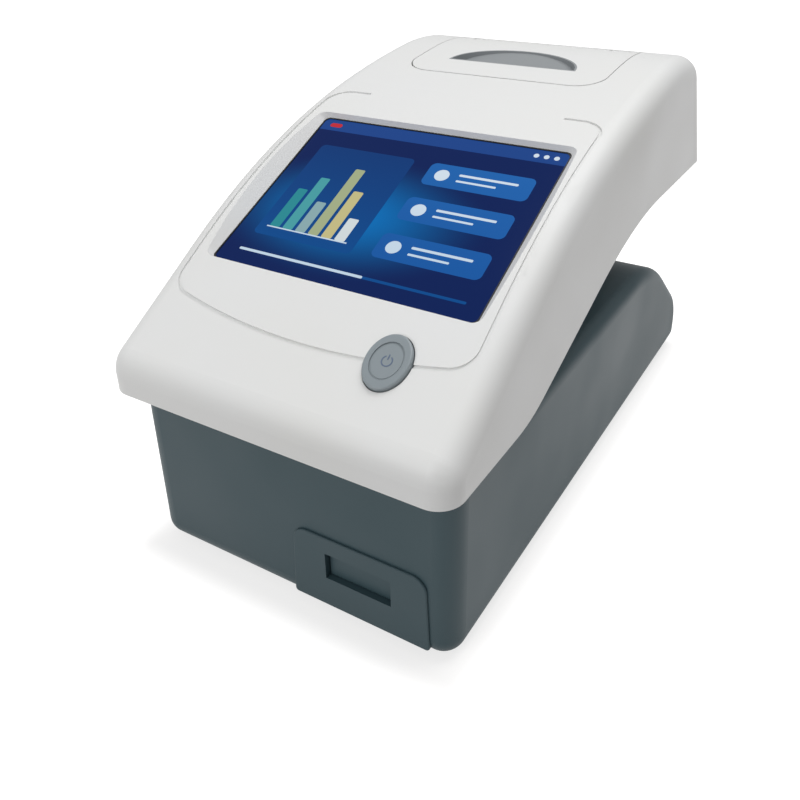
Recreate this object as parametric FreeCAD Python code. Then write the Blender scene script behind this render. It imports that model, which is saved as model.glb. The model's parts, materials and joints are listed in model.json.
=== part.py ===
"""Bench-top urine analyzer: an arched upper housing with display, button and printer door on a
dark base, with a strip platform that slides out of the front. +X is right, +Y is back, +Z is up.
The origin is the middle of the footprint, on the surface that the feet stand on."""
import FreeCAD
import Part
import math
import os

# Overall
overrun = 30.0
seat_gap = 0.1
quarter_deg = 90.0
third_turn_deg = 120.0

# Upper housing: side outline from the lip, over the nose and the crown, to the rear
pod_side = 15.6
pod_wall = 2.5
pod_edge_radius = 9.5
pod_rear_radius = 2.5
lip_z = 77.6
nose_face = 6.9
nose_radius = 12.0
front_slope_deg = 33.0
front_slope_length = 50.2
crown_radius = 330.0
crown_end_deg = 13.3
shoulder_radius = 520.0
shoulder_end_deg = 7.0
roll_radius = 115.0
roll_end_deg = -8.0
rear_lean_deg = 30.6

# Upper housing: the lower edge, flat over the base and then sweeping up to the rear
waist_start = 47.6
waist_radius = 60.0
waist_deg = 21.5
waist_slope = 61.3
tail_sweep_radius = 200.0

# Base
base_side_setback = 3.5
base_wall = 2.6
base_setback = 10.3
base_corner_radius = 8.8
base_edge_radius = 6.2
base_bottom_radius = 8.6
deck_z = lip_z - 2 * seat_gap
foot_height = 1.6
tail_deg = 37.0
tail_arc_radius = 90.0
tail_end_z = 12.57
heel_radius = 32.0

# Neck between the base and the upper housing
neck_width = 88.0
neck_front = 76.6
neck_length = 150.0
neck_corner_radius = 8.0
neck_rim = 6.0
neck_rim_height = 3.0
neck_root = 9.0

# Cover that closes the upper housing from below
under_thickness = 2.2
under_fit = 0.2
cable_window_width = 40.0
cable_window_back = 110.0
cable_window_length = 40.0

# Screen and the recess it lies in, from the lower edge of the glass up the slope
screen_width = 115.2
screen_height = 87.4
screen_tilt_deg = 25.8
screen_up = 47.4
screen_sink = 2.9
pocket_depth = 9.0
pocket_side_share = 0.85
pocket_end_share = 0.35
pocket_corner = 2.6
pocket_mouth_corner = 6.0
rim_side = 8.0
rim_end = 7.0
gasket_thickness = 0.4
gasket_reveal = 0.6
glass_lap = 3.4
glass_thickness = 1.8
module_lap = 4.9
module_thickness = 6.8
module_fit = 0.3
module_plug_width = 24.0
module_plug_height = 5.0
bracket_thickness = 1.0
bracket_flange = 5.0
bracket_window_share = 0.6
display_post_out = 9.2
display_post_ends = (15.0, 72.0)

# Groove round the screen
groove_side = 6.4
groove_low = 24.9
groove_arc_radius = 253.0
groove_corner_radius = 10.0
groove_top = 107.0
groove_top_end = 46.0
groove_width = 1.4
groove_depth = 0.7

# Power button
button_in = 37.2
button_up = 23.7
button_half_width = 8.3
button_half_height = 10.5
button_proud = 1.7
button_round = 0.8
button_ring_half_width = 5.3
button_ring_half_height = 6.5
button_ring_width = 0.7
button_ring_depth = 0.5
button_dish_depth = 0.3
button_seat_gap = 0.1
button_gap = 0.35
button_flange = 1.4
button_flange_thickness = 1.2
button_travel = 1.0
button_stem_radius = 2.2
button_stem = 6.0
button_board_width = 31.0
button_board_height = 16.0
button_post_x = 12.9

# Switch under the button
switch_size = 6.0
switch_height = 3.5
switch_plunger_radius = 1.7
switch_plunger_length = 3.4
switch_bore_depth = 2.5
switch_gap = 2.1

# Circuit boards, posts and screws
board_thickness = 1.6
post_radius = 2.6
small_screw_radius = 1.0
small_screw_length = 5.0
small_head_radius = 1.9
small_head_height = 1.3
case_screw_radius = 1.4
case_screw_length = 9.0
case_head_radius = 2.7
case_head_height = 1.8
case_post_radius = 3.4
screw_clearance = 0.2
front_screw_in = 15.2
front_screw_back = 31.6
neck_screw_x = 38.4
neck_screw_back = 219.0
neck_post_height = 9.0
cover_screw_in = 11.2
cover_screw_backs = (206.6, 253.6)
cover_screw_sink = 2.0
base_screw_in = 14.9
base_screw_backs = (25.7, 148.0)
base_screw_end = 17.6
base_screw_sink = 1.5

# Printer door, finger recess and hinge
door_front = 171.9
door_half_width = 48.0
door_corner_radius = 13.0
door_thickness = 2.2
door_gap = 0.45
door_slot = 0.9
hinge_back = 230.6
hinge_barrel_radius = 3.2
hinge_gap = 0.4
hinge_pin_radius = 1.25
hinge_running = 0.05
hinge_lug_x = 34.0
hinge_lug_width = 5.0
hinge_lug_radius = 3.0
hinge_lug_reach = 9.0
hinge_lug_rise = 1.2
hinge_side_gap = 0.4
recess_front = 187.9
recess_half_width = 31.8
recess_length = 21.0
recess_depth = 4.2
recess_end_depth = 0.5
recess_wall = 1.3
recess_rim = 1.0

# Paper bay and roll
paper_width = 57.5
roll_outer_radius = 18.5
core_outer_radius = 7.0
core_wall = 1.2
spindle_radius = 3.0
spindle_hub_width = 6.0
spindle_hub_in = 5.0
spindle_head_radius = 4.4
spindle_head_thickness = 1.2
roll_back = 206.6
roll_z = 146.3
bay_wall = 1.6
bay_side_gap = 1.4
bay_roll_gap = 2.6
bay_floor_gap = 2.6
bay_top_gap = 1.4
bay_ear_reach = 7.0
bay_ear_length = 12.0
bay_ear_height = 3.2
spindle_running = 0.1
spindle_side_gap = 0.3

# Printer mechanism
platen_back = 178.1
platen_z = 159.8
platen_radius = 5.5
platen_half_length = 29.5
platen_shaft_radius = 2.0
gear_module = 0.5
gear_backlash = 0.12
gear_width = 3.6
platen_teeth = 24
idler_teeth = 20
printer_pinion_teeth = 12
idler_deg = -120.0
printer_pinion_deg = -135.0
gear_side_gap = 0.4
gear_tip_share = 0.8
gear_root_share = 1.05
pressure_deg = 20.0
frame_plate = 1.6
frame_half_width = 34.0
frame_reach = 11.5
frame_rise = 4.5
running_gap = 0.05
printer_motor_radius = 10.0
printer_motor_length = 18.0
motor_shaft_radius = 1.0
motor_shaft_in = 3.0
motor_hole_gap = 0.3
stud_radius = 1.5
frame_bar_low = 143.3
frame_bar_height = 9.0
frame_screw_x = 27.0
frame_screw_z = 147.8
head_thickness = 1.6
head_height = 10.0
head_gap = 0.05
head_drop = 6.0
sink_thickness = 3.6
sink_height = 8.0
sink_fin_count = 7
sink_fin_width = 5.0
sink_fin_depth = 2.0
cross_bar_thickness = 1.6
cross_bar_low = 4.0
tear_bar_depth = 4.4
tear_bar_thickness = 0.8
tear_tooth = 1.0
tear_bar_teeth = 24

# Front panel for the strip platform
panel_in = 38.6
panel_half_width = 28.0
panel_flare = 1.5
panel_low = 5.7
panel_high = 38.0
panel_proud = 1.0
panel_corner_radius = 6.0
panel_edge_radius = 0.6
panel_wrap = 3.0
panel_foot_radius = 1.5
spigot_width = 40.0
spigot_low = 12.3
spigot_high = 33.3
spigot_reach = 4.0
spigot_fit = 0.1
window_offset = 0.1
window_width = 28.0
window_low = 19.3
window_high = 30.8
window_gap = 0.55

# Strip platform, insert and rack
platform_length = 150.0
platform_recess = 2.4
platform_travel = 105.0
platform_groove_depth = 2.0
platform_groove_low = 3.8
platform_groove_height = 2.4
insert_width = 19.6
insert_height = 3.3
insert_length = 116.0
insert_setback = 5.0
insert_fit = 0.15
strip_channel_width = 5.4
strip_channel_depth = 1.2
strip_channel_length = 106.0
strip_well_depth = 2.2
strip_well_length = 9.0
pad_size = 12.0
pad_thickness = 1.0
pad_setback = 125.0
rack_width = 6.0
rack_height = 3.6
rack_module = 0.8
rack_tip_share = 0.7
rack_root_share = 1.2
rack_backlash = 0.1
rack_front_teeth = 12
rack_rear_teeth = 44
rack_end = 1.2
rack_offset = 7.0
flag_length = 7.0
flag_thickness = 1.0
flag_height = 4.0
flag_offset = 7.0

# Transport frame, rails and drive
channel_wall = 2.5
channel_gap = 2.6
channel_floor = 2.0
channel_back = 19.6
channel_spare = 3.1
channel_high = 31.9
rail_gap = 0.2
rail_sink = 1.0
drive_teeth = 12
reduction_teeth = 28
motor_pinion_teeth = 12
reduction_gap = 0.2
reduction_width = 4.0
axle_radius = 1.5
axle_back = 50.0
axle_overhang = 13.0
pinion_slot_gap = 1.0
motor_deg = 31.0
tower_offset = 26.4
tower_thickness = 1.6
tower_half_length = 19.0
tower_high = 33.3
drive_motor_radius = 11.0
drive_motor_length = 20.0
motor_boss_radius = 3.0
motor_flange_thickness = 1.2
motor_ear_reach = 15.0
motor_ear_width = 7.0
motor_screw_length = 2.6
transport_screw_backs = (46.0, 120.0)
transport_screw_end = 5.8
transport_screw_length = 4.2
transport_ear = 7.0

# Reading head
head_back = 63.6
head_length = 38.0
head_box_height = 27.0
head_wall = 2.0
window_slot_width = 10.0
window_slot_length = 24.0
window_ledge = 2.0
window_glass_thickness = 1.5
lamp_radius = 2.0
lamp_length = 4.0
lamp_x = 9.0
lamp_pitch = 8.0
lamp_rows = 3
head_post_in = 4.0
sensor_chip = 7.0
sensor_chip_height = 1.8

# Home sensor
sensor_width = 9.0
sensor_length = 6.0
sensor_slot = 3.0
sensor_base = 3.0
sensor_drop = 5.0
sensor_rise = 4.5
sensor_gap = 1.0

# Main board and what stands on it
board_side = 19.4
board_length = 78.0
board_post_height = 4.4
board_post_in = 6.0
board_setback = 13.6
port_depth = 26.4
port_panel_thickness = 2.0
port_recess_width = 92.0
port_recess_low = 6.8
port_recess_high = 30.0
port_panel_lap = 1.6
port_gap = 0.2
port_proud = 0.8
port_ear_width = 8.0
port_ear_low = 12.0
port_ear_height = 10.0
port_post_length = 9.0
inlet_x = -36.0
inlet_width = 9.0
inlet_height = 11.0
inlet_length = 14.0
inlet_bore_radius = 3.1
inlet_bore_depth = 9.5
inlet_pin_radius = 1.0
serial_x = -9.0
serial_flange_width = 30.8
serial_flange_height = 12.5
serial_flange_thickness = 1.0
serial_shell_width = 18.2
serial_shell_height = 9.9
serial_shell_proud = 5.9
serial_shell_wall = 0.6
serial_shell_draft = 0.9
serial_body_length = 11.0
serial_pin_radius = 0.5
serial_pin_pitch = 2.77
serial_pin_rows = (5, 4)
jackscrew_spacing = 24.99
jackscrew_radius = 2.7
jackscrew_proud = 4.6
jackscrew_hole_radius = 1.2
jackscrew_hole_depth = 4.0
jackscrew_sides = 6
usb_x = (16.0, 33.0)
usb_width = (12.0, 14.4)
usb_height = (10.9, 7.0)
usb_length = 15.0
usb_wall = 0.5
usb_tongue_width = (5.6, 11.1)
usb_tongue_height = (3.2, 1.9)
usb_mouth_depth = 9.0
chip_height = 1.6
board_chip_places = ((-30.0, 18.0, 14.0), (-8.0, 20.0, 18.0), (14.0, 16.0, 10.0), (34.0, 22.0, 12.0), (20.0, 38.0, 8.0))
cell_radius = 10.0
cell_thickness = 3.2
cell_place = (-34.0, 44.0)
buzzer_radius = 6.0
buzzer_height = 5.5
buzzer_hole_radius = 1.0
buzzer_place = (40.0, 46.0)

# Feet and bottom cover
cover_fit = 0.3
cover_inset = 9.0
cover_corner_radius = 6.0
bottom_thickness = 2.5
foot_radius = 6.5
foot_sink = 0.8
foot_inset_x = 18.0
foot_front = 36.0
foot_end = 1.6
vent_count = 7
vent_pitch = 6.0
vent_width = 2.4
vent_length = 34.0
vent_x = -30.0
vent_back = 100.0

vector = FreeCAD.Vector
x_axis = vector(1, 0, 0)
y_axis = vector(0, 1, 0)
z_axis = vector(0, 0, 1)

# Sizes and places that follow from the driving dimensions
pod_width = screen_width + 2 * pod_side
base_width = pod_width - 2 * base_side_setback
board_width = base_width - 2 * board_side
tail_sine = math.sin(math.radians(tail_deg))
tail_cosine = math.cos(math.radians(tail_deg))
tail_fall = deck_z - tail_end_z - tail_arc_radius * (1 - tail_cosine) - heel_radius * tail_cosine
tail_slope = tail_fall / tail_sine
tail_run = tail_arc_radius * tail_sine + tail_slope * tail_cosine + heel_radius * (1 - tail_sine)
platform_front_back = base_setback - panel_proud + platform_recess
channel_end_back = platform_front_back + platform_length + flag_length + channel_spare
port_panel_back = channel_end_back + board_setback + board_length + port_gap
overall_length = port_panel_back + port_depth
nose_y = -overall_length / 2
tail_y = overall_length / 2
display_post_x = screen_width / 2 + display_post_out
groove_half_width = screen_width / 2 + groove_side
button_x = pod_width / 2 - button_in
front_screw_x = pod_width / 2 - front_screw_in
cover_screw_x = pod_width / 2 - cover_screw_in
base_screw_x = base_width / 2 - base_screw_in
panel_x = base_width / 2 - panel_in
window_x = panel_x - window_offset
rack_x = window_x + rack_offset
flag_x = window_x - flag_offset
tower_x = window_x - tower_offset
reduction_x = tower_x + tower_thickness + reduction_gap
axle_end = rack_x + axle_overhang
channel_length = channel_end_back - channel_back
foot_rear = port_panel_back - foot_end
base_front_y = nose_y + base_setback
slope_start_y = nose_y + nose_radius * (1 - math.sin(math.radians(front_slope_deg)))
slope_start_z = lip_z + nose_face + nose_radius * math.cos(math.radians(front_slope_deg))
waist_cos_drop = 1 - math.cos(math.radians(waist_deg))
rear_lip_z = (lip_z + (waist_radius + tail_sweep_radius) * waist_cos_drop
              + waist_slope * math.sin(math.radians(waist_deg)))
bottom_z = foot_height
floor_z = bottom_z + bottom_thickness
channel_floor_z = floor_z + channel_floor
platform_low = window_low + window_gap
platform_high = window_high - window_gap
platform_width = window_width - 2 * window_gap
platform_front_y = nose_y + platform_front_back
drive_radius = rack_module * drive_teeth / 2
axle_y = nose_y + axle_back
axle_z = platform_low + rack_module * rack_tip_share - drive_radius
board_z = floor_z + board_post_height
port_panel_y = nose_y + port_panel_back
board_rear_y = port_panel_y - port_gap


def box(x0, x1, y0, y1, z0, z1):
    """Block between two corners."""
    return Part.makeBox(x1 - x0, y1 - y0, z1 - z0, vector(x0, y0, z0))


def rod(radius, start, end):
    """Cylinder from one point to another."""
    return Part.makeCylinder(radius, start.distanceToPoint(end), start, end - start)


def fuse(shapes):
    """One solid from several that touch or overlap."""
    whole = shapes[0].multiFuse(shapes[1:])
    return whole.removeSplitter()


def on_slope(shape, y, z, degrees, x=0):
    """Put a shape drawn flat, x right, y up the slope and z outward, on a slope at a point."""
    turned = shape.copy()
    turned.rotate(vector(0, 0, 0), x_axis, degrees)
    turned.translate(vector(x, y, z))
    return turned


class Trail:
    """A line drawn in the YZ plane by straight runs and tangent arcs."""

    def __init__(self, y, z, heading_deg):
        self.y = y
        self.z = z
        self.heading = heading_deg
        self.edges = []

    def go_to(self, y, z):
        """Straight line to a point."""
        self.edges.append(Part.makeLine(vector(0, self.y, self.z), vector(0, y, z)))
        self.y = y
        self.z = z

    def line(self, length):
        """Straight line ahead."""
        angle = math.radians(self.heading)
        self.go_to(self.y + length * math.cos(angle), self.z + length * math.sin(angle))

    def arc(self, radius, turn_deg):
        """Tangent arc, to the left where the turn is positive."""
        side = math.copysign(1, turn_deg)
        start = math.radians(self.heading)
        centre_y = self.y - side * radius * math.sin(start)
        centre_z = self.z + side * radius * math.cos(start)
        points = [vector(0, self.y, self.z)]
        for share in (0.5, 1):
            angle = math.radians(self.heading + turn_deg * share)
            points.append(vector(0, centre_y + side * radius * math.sin(angle),
                                 centre_z - side * radius * math.cos(angle)))
        self.edges.append(Part.Arc(*points).toShape())
        self.y = points[2].y
        self.z = points[2].z
        self.heading += turn_deg

    def prism(self, half_width):
        """Close the line and extrude it to both sides of the middle plane."""
        first = self.edges[0].Vertexes[0].Point
        self.go_to(first.y, first.z)
        face = Part.Face(Part.Wire(self.edges))
        face.translate(vector(-half_width, 0, 0))
        return face.extrude(vector(2 * half_width, 0, 0))


def rounded_plate(x0, x1, y0, y1, z0, z1, radius):
    """Block with its four upright edges rounded."""
    block = box(x0, x1, y0, y1, z0, z1)
    upright = [e for e in block.Edges if abs(e.tangentAt(e.FirstParameter).z) > 0.5]
    return block.makeFillet(radius, upright)


def rounded_loop(half_x, y0, y1, z, radius):
    """Wire of a rounded rectangle at a height."""
    plate = rounded_plate(-half_x, half_x, y0, y1, z - radius, z, radius)
    top = max(plate.Faces, key=lambda face: face.CenterOfMass.z)
    return top.OuterWire


def oval(half_x, half_y, z0, z1):
    """Elliptical disc about the origin."""
    ends = sorted((vector(half_x, 0, 0), vector(0, half_y, 0)), key=lambda end: -end.Length)
    ring = Part.Ellipse(ends[0], ends[1], vector(0, 0, 0))
    face = Part.Face(Part.Wire([ring.toShape()]))
    face.translate(vector(0, 0, z0))
    return face.extrude(vector(0, 0, z1 - z0))


def pod_top_trail(inset):
    """Side outline of the upper housing from the front lip to past the rear, moved inward."""
    trail = Trail(nose_y + inset, lip_z - overrun, quarter_deg)
    trail.line(nose_face + overrun)
    trail.arc(nose_radius - inset, front_slope_deg - quarter_deg)
    trail.line(front_slope_length)
    trail.arc(crown_radius - inset, crown_end_deg - front_slope_deg)
    trail.arc(shoulder_radius - inset, shoulder_end_deg - crown_end_deg)
    trail.arc(roll_radius - inset, roll_end_deg - shoulder_end_deg)
    return trail


def rear_cut(inset):
    """Everything behind the leaning rear face, moved inward."""
    trail = pod_top_trail(0)
    lean = math.radians(rear_lean_deg)
    wedge = Trail(trail.y - inset / math.cos(lean), trail.z, rear_lean_deg + quarter_deg)
    wedge.line(overrun)
    wedge.go_to(tail_y + 2 * overrun, wedge.z)
    wedge.go_to(wedge.y, 0)
    back = (trail.z + overrun) * math.tan(lean)
    wedge.go_to(trail.y - inset / math.cos(lean) + back, -overrun)
    return wedge.prism(pod_width)


def pod_block(inset):
    """Filled upper housing without its lower edge, every face moved inward by the inset."""
    trail = pod_top_trail(inset)
    trail.line(2 * overrun)
    far_y = trail.y
    trail.go_to(far_y, lip_z - overrun)
    half = pod_width / 2 - inset
    block = trail.prism(half)
    top_edges = []
    for edge in block.Edges:
        middle = edge.valueAt((edge.FirstParameter + edge.LastParameter) / 2)
        on_side = abs(abs(middle.x) - half) < seat_gap
        upper = middle.z > lip_z - overrun + seat_gap
        if on_side and upper and middle.y < far_y - seat_gap:
            top_edges.append(edge)
    return block.makeFillet(pod_edge_radius - inset, top_edges).cut(rear_cut(inset))


def under_space(lift):
    """Space below the lower edge of the upper housing, raised by a lift."""
    trail = Trail(nose_y - overrun, lip_z + lift, 0)
    trail.line(waist_start + overrun)
    trail.arc(waist_radius, waist_deg)
    trail.line(waist_slope)
    trail.arc(tail_sweep_radius, -waist_deg)
    trail.go_to(tail_y + 2 * overrun, trail.z)
    trail.go_to(trail.y, -overrun)
    trail.go_to(nose_y - overrun, -overrun)
    return trail.prism(pod_width)


def base_block(inset, low):
    """Filled base with its rounded tail and bottom edge, down to a low face, every other face moved inward."""
    trail = Trail(base_front_y + inset, low, quarter_deg)
    trail.line(deck_z - inset - low)
    trail.go_to(tail_y - tail_run, trail.z)
    trail.heading = 0
    trail.arc(tail_arc_radius - inset, -tail_deg)
    trail.line(tail_slope)
    trail.arc(heel_radius - inset, tail_deg - quarter_deg)
    trail.go_to(trail.y, low)
    half = base_width / 2 - inset
    block = trail.prism(half)
    front_y = base_front_y + inset
    middle_z = (deck_z - inset + low) / 2
    corners = [edge for edge in block.Edges
               if passes(edge, vector(half, front_y, middle_z)) or passes(edge, vector(-half, front_y, middle_z))]
    block = block.makeFillet(base_corner_radius - inset, corners)
    rim = [edge for edge in block.Edges if passes(edge, vector(0, front_y, deck_z - inset))]
    block = block.makeFillet(base_edge_radius - inset, rim)
    rim = [edge for edge in block.Edges if passes(edge, vector(0, front_y, low))]
    return block.makeFillet(base_bottom_radius - inset, rim)


def passes(edge, point):
    """Whether the middle of an edge lies at a point."""
    middle = edge.valueAt((edge.FirstParameter + edge.LastParameter) / 2)
    return middle.distanceToPoint(point) < seat_gap


def gear_face(teeth, module, tip_share, root_share, backlash, turn_deg):
    """Outline of a spur gear about the origin of the YZ plane, one tooth pointing to the turn."""
    pitch = module * teeth / 2
    pressure = math.radians(pressure_deg)
    base = pitch * math.cos(pressure)
    thin = backlash / (2 * pitch) / 2
    radii = (pitch - module * root_share, pitch, pitch + module * tip_share)
    halves = []
    for radius in radii:
        slant = math.acos(min(1, base / radius))
        bulge = math.tan(slant) - slant
        reference = math.tan(pressure) - pressure
        halves.append(math.pi / (2 * teeth) - thin + reference - bulge)
    points = []
    for tooth in range(teeth):
        middle = math.radians(turn_deg) + 2 * math.pi * tooth / teeth
        flank = [(radius, middle - half) for radius, half in zip(radii, halves)]
        other = [(radius, middle + half) for radius, half in zip(radii, halves)]
        for radius, angle in flank + other[::-1]:
            points.append(vector(0, radius * math.cos(angle), radius * math.sin(angle)))
    points.append(points[0])
    return Part.Face(Part.makePolygon(points))


def gear(face, x0, width, bore, y, z):
    """Gear of a width with a round bore, on an axis along X."""
    wheel = face.extrude(vector(width, 0, 0))
    wheel.translate(vector(x0, y, z))
    if bore > 0:
        wheel = wheel.cut(rod(bore, vector(x0 - seat_gap, y, z), vector(x0 + width + seat_gap, y, z)))
    return wheel


def small_gear(teeth, turn_deg):
    """Outline of a gear of the fine pitch."""
    return gear_face(teeth, gear_module, gear_tip_share, gear_root_share, gear_backlash, turn_deg)


def mesh_turn(turn_deg, teeth, next_teeth, direction_deg):
    """Turn of the next gear, so that a gap of it meets a tooth of this one."""
    lead = (turn_deg - direction_deg) * teeth / next_teeth
    return direction_deg + 180 - lead + 180 / next_teeth


def step_yz(y, z, distance, direction_deg):
    """Point at a distance and a direction in the YZ plane."""
    angle = math.radians(direction_deg)
    return y + distance * math.cos(angle), z + distance * math.sin(angle)


def screw(head_seat, direction, length, shank, head, head_height):
    """Screw with its head behind a seat and its shank ahead of it."""
    shaft = rod(shank, head_seat, head_seat + direction * length)
    cap = rod(head, head_seat - direction * head_height, head_seat)
    return shaft.fuse(cap)


def case_screw(seat):
    """Case screw, driven from below."""
    return screw(seat, z_axis, case_screw_length, case_screw_radius, case_head_radius, case_head_height)


def small_screw(seat, direction):
    """Small screw."""
    return screw(seat, direction, small_screw_length, small_screw_radius, small_head_radius,
                 small_head_height)


def roof_height(y):
    """Height of the upper housing at a place on the middle plane."""
    plumb = Part.makeLine(vector(0, y, lip_z), vector(0, y, lip_z + overall_length))
    return pod_block(0).common(plumb).BoundBox.ZMax


def hinge_axis():
    """Place of the door's hinge, just under the roof."""
    trail = pod_top_trail(0)
    end = math.radians(roll_end_deg)
    centre_y = trail.y + roll_radius * math.sin(end)
    centre_z = trail.z - roll_radius * math.cos(end)
    y = nose_y + hinge_back
    reach = roll_radius - hinge_barrel_radius
    return y, centre_z + math.sqrt(reach ** 2 - (y - centre_y) ** 2)


screen_y = slope_start_y + screen_up * math.cos(math.radians(front_slope_deg))
screen_z = slope_start_z + screen_up * math.sin(math.radians(front_slope_deg)) - screen_sink
button_y = slope_start_y + button_up * math.cos(math.radians(front_slope_deg))
button_z = slope_start_z + button_up * math.sin(math.radians(front_slope_deg))
roll_y = nose_y + roll_back
platen_y = nose_y + platen_back
hinge_y, hinge_z = hinge_axis()
door_front_y = nose_y + door_front
recess_y = nose_y + recess_front
idler_reach = gear_module * (platen_teeth + idler_teeth) / 2
idler_y, idler_z = step_yz(platen_y, platen_z, idler_reach, idler_deg)
pinion_reach = gear_module * (idler_teeth + printer_pinion_teeth) / 2
pinion_y, pinion_z = step_yz(idler_y, idler_z, pinion_reach, printer_pinion_deg)
motor_reach = gear_module * (reduction_teeth + motor_pinion_teeth) / 2
drive_motor_y, drive_motor_z = step_yz(axle_y, axle_z, motor_reach, motor_deg)


def on_screen(shape):
    """Put a shape drawn flat on the plane of the glass."""
    return on_slope(shape, screen_y, screen_z, screen_tilt_deg)


def on_button(shape):
    """Put a shape drawn flat on the front slope where the button is."""
    return on_slope(shape, button_y, button_z, front_slope_deg, button_x)


def screen_plate(lap, n0, n1, radius):
    """Rounded plate over the screen, larger than the picture by a lap."""
    half = screen_width / 2 + lap
    return rounded_plate(-half, half, -lap, screen_height + lap, n0, n1, radius)


def screen_pocket():
    """Recess over the glass with sloping walls."""
    depth = pocket_depth - gasket_thickness
    half = screen_width / 2
    side = depth * pocket_side_share
    end = depth * pocket_end_share
    low = rounded_loop(half, 0, screen_height, gasket_thickness, pocket_corner)
    high = rounded_loop(half + side, -end, screen_height + end, pocket_depth, pocket_mouth_corner)
    return on_screen(Part.makeLoft([low, high], True, True))


def groove_region(offset):
    """Area inside the groove's middle line, grown by an offset, as a tall block on the screen plane."""
    corner = groove_corner_radius + offset
    low = groove_arc_radius + offset
    half = groove_half_width + offset
    turn = math.degrees(math.asin((half - corner) / (low - corner)))
    trail = Trail(0, -groove_low - offset, 0)
    trail.arc(low, turn)
    trail.arc(corner, quarter_deg - turn)
    trail.go_to(trail.y, groove_top + offset - corner)
    trail.arc(corner, quarter_deg)
    trail.go_to(0, trail.z)
    half_block = trail.prism(pocket_depth)
    half_block.rotate(vector(0, 0, 0), vector(1, 1, 1), -third_turn_deg)
    return half_block.fuse(half_block.mirror(vector(0, 0, 0), x_axis)).removeSplitter()


def groove_band():
    """The groove's path, open between its two top ends."""
    band = groove_region(groove_width / 2).cut(groove_region(-groove_width / 2))
    gap = box(-groove_top_end, groove_top_end, groove_top - groove_corner_radius,
              groove_top + groove_corner_radius, -overrun, overrun)
    return on_screen(band.cut(gap))


def door_region(grow, slot, rear):
    """Column over the printer door, seen from above, with rounded front corners."""
    front = door_front_y - slot
    corner = door_corner_radius + grow
    half = door_half_width + grow
    column = rounded_plate(-half, half, front, rear + corner, lip_z + overrun, lip_z + 4 * overrun, corner)
    return column.cut(box(-pod_width, pod_width, rear, tail_y, 0, overall_length))


def front_post_places():
    """Screws that hold the upper housing down at the front."""
    z = deck_z - base_wall
    return [vector(x, nose_y + front_screw_back, z) for x in (-front_screw_x, front_screw_x)]


def neck_post_places():
    """Screws through the rim of the neck."""
    z = rear_lip_z - neck_rim_height
    return [vector(x, nose_y + neck_screw_back, z) for x in (-neck_screw_x, neck_screw_x)]


def cover_post_places():
    """Screws through the lower cover into the upper housing."""
    z = rear_lip_z + cover_screw_sink
    return [vector(x, nose_y + back, z) for back in cover_screw_backs
            for x in (-cover_screw_x, cover_screw_x)]


def base_post_places():
    """Screws through the bottom cover into the base."""
    z = bottom_z + base_screw_sink
    backs = base_screw_backs + (port_panel_back - base_screw_end,)
    return [vector(x, nose_y + back, z) for back in backs
            for x in (-base_screw_x, base_screw_x)]


def upper_housing():
    """Arched shell with the screen recess, the groove, the button hole and the printer opening."""
    outer = pod_block(0)
    rear_edges = []
    for edge in outer.Edges:
        middle = edge.valueAt((edge.FirstParameter + edge.LastParameter) / 2)
        lean = (middle.z - rear_lip_z) * math.tan(math.radians(rear_lean_deg))
        on_rear = abs(middle.y + lean - rear_lip_y()) < seat_gap
        if on_rear and middle.z > rear_lip_z - overrun:
            rear_edges.append(edge)
    outer = outer.makeFillet(pod_rear_radius, rear_edges)
    solid = outer.cut(pod_block(pod_wall))
    keep = pod_block(pod_wall / 2)
    half = screen_width / 2 + rim_side
    rim = box(-half, half, -rim_end, screen_height + rim_end, gasket_thickness, pocket_depth)
    extras = [on_screen(rim)]
    post_low = -button_stack()
    for x in (-button_post_x, button_post_x):
        extras.append(on_button(rod(post_radius, vector(x, 0, post_low), vector(x, 0, 0))))
    for x in (-display_post_x, display_post_x):
        for up in display_post_ends:
            low = -glass_thickness - module_thickness
            extras.append(on_screen(rod(post_radius, vector(x, up, low), vector(x, up, pocket_depth))))
    for place in front_post_places():
        low = vector(place.x, place.y, lip_z + under_thickness)
        extras.append(rod(case_post_radius, low, low + z_axis * overall_length))
    for place in cover_post_places():
        low = vector(place.x, place.y, place.z + under_thickness)
        extras.append(rod(case_post_radius, low, low + z_axis * overall_length))
    for side in (-1, 1):
        extras.append(hinge_lug(side))
    inner = extras[0].multiFuse(extras[1:]).common(keep)
    solid = solid.fuse(inner)
    cuts = [under_space(0), screen_pocket(), groove_band().common(outer.cut(pod_block(groove_depth)))]
    lap = glass_lap + module_fit
    cuts.append(on_screen(box(-screen_width / 2 - lap, screen_width / 2 + lap, -lap, screen_height + lap,
                              -module_thickness, gasket_thickness)))
    cuts.append(on_button(oval(button_half_width + button_gap, button_half_height + button_gap,
                               -pod_wall - button_flange_thickness, overrun)))
    rear = hinge_y + hinge_barrel_radius + hinge_gap
    opening = door_region(door_gap, door_slot, rear)
    for side in (-1, 1):
        opening = opening.cut(hinge_lug(side))
    cuts.append(opening)
    cuts.append(rod(hinge_pin_radius, vector(-pod_width, hinge_y, hinge_z), vector(pod_width, hinge_y, hinge_z))
                .common(box(-hinge_pin_end(), hinge_pin_end(), nose_y, tail_y, 0, overall_length)))
    cuts += [rod(case_screw_radius, place, place + z_axis * case_screw_length)
             for place in front_post_places() + cover_post_places()]
    for x in (-button_post_x, button_post_x):
        cuts.append(on_button(rod(small_screw_radius, vector(x, 0, post_low - board_thickness),
                                  vector(x, 0, post_low - board_thickness + small_screw_length))))
    for x in (-display_post_x, display_post_x):
        for up in display_post_ends:
            low = -glass_thickness - module_thickness - bracket_thickness
            cuts.append(on_screen(rod(small_screw_radius, vector(x, up, low),
                                      vector(x, up, low + small_screw_length))))
    return solid.cut(cuts).removeSplitter()


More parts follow.
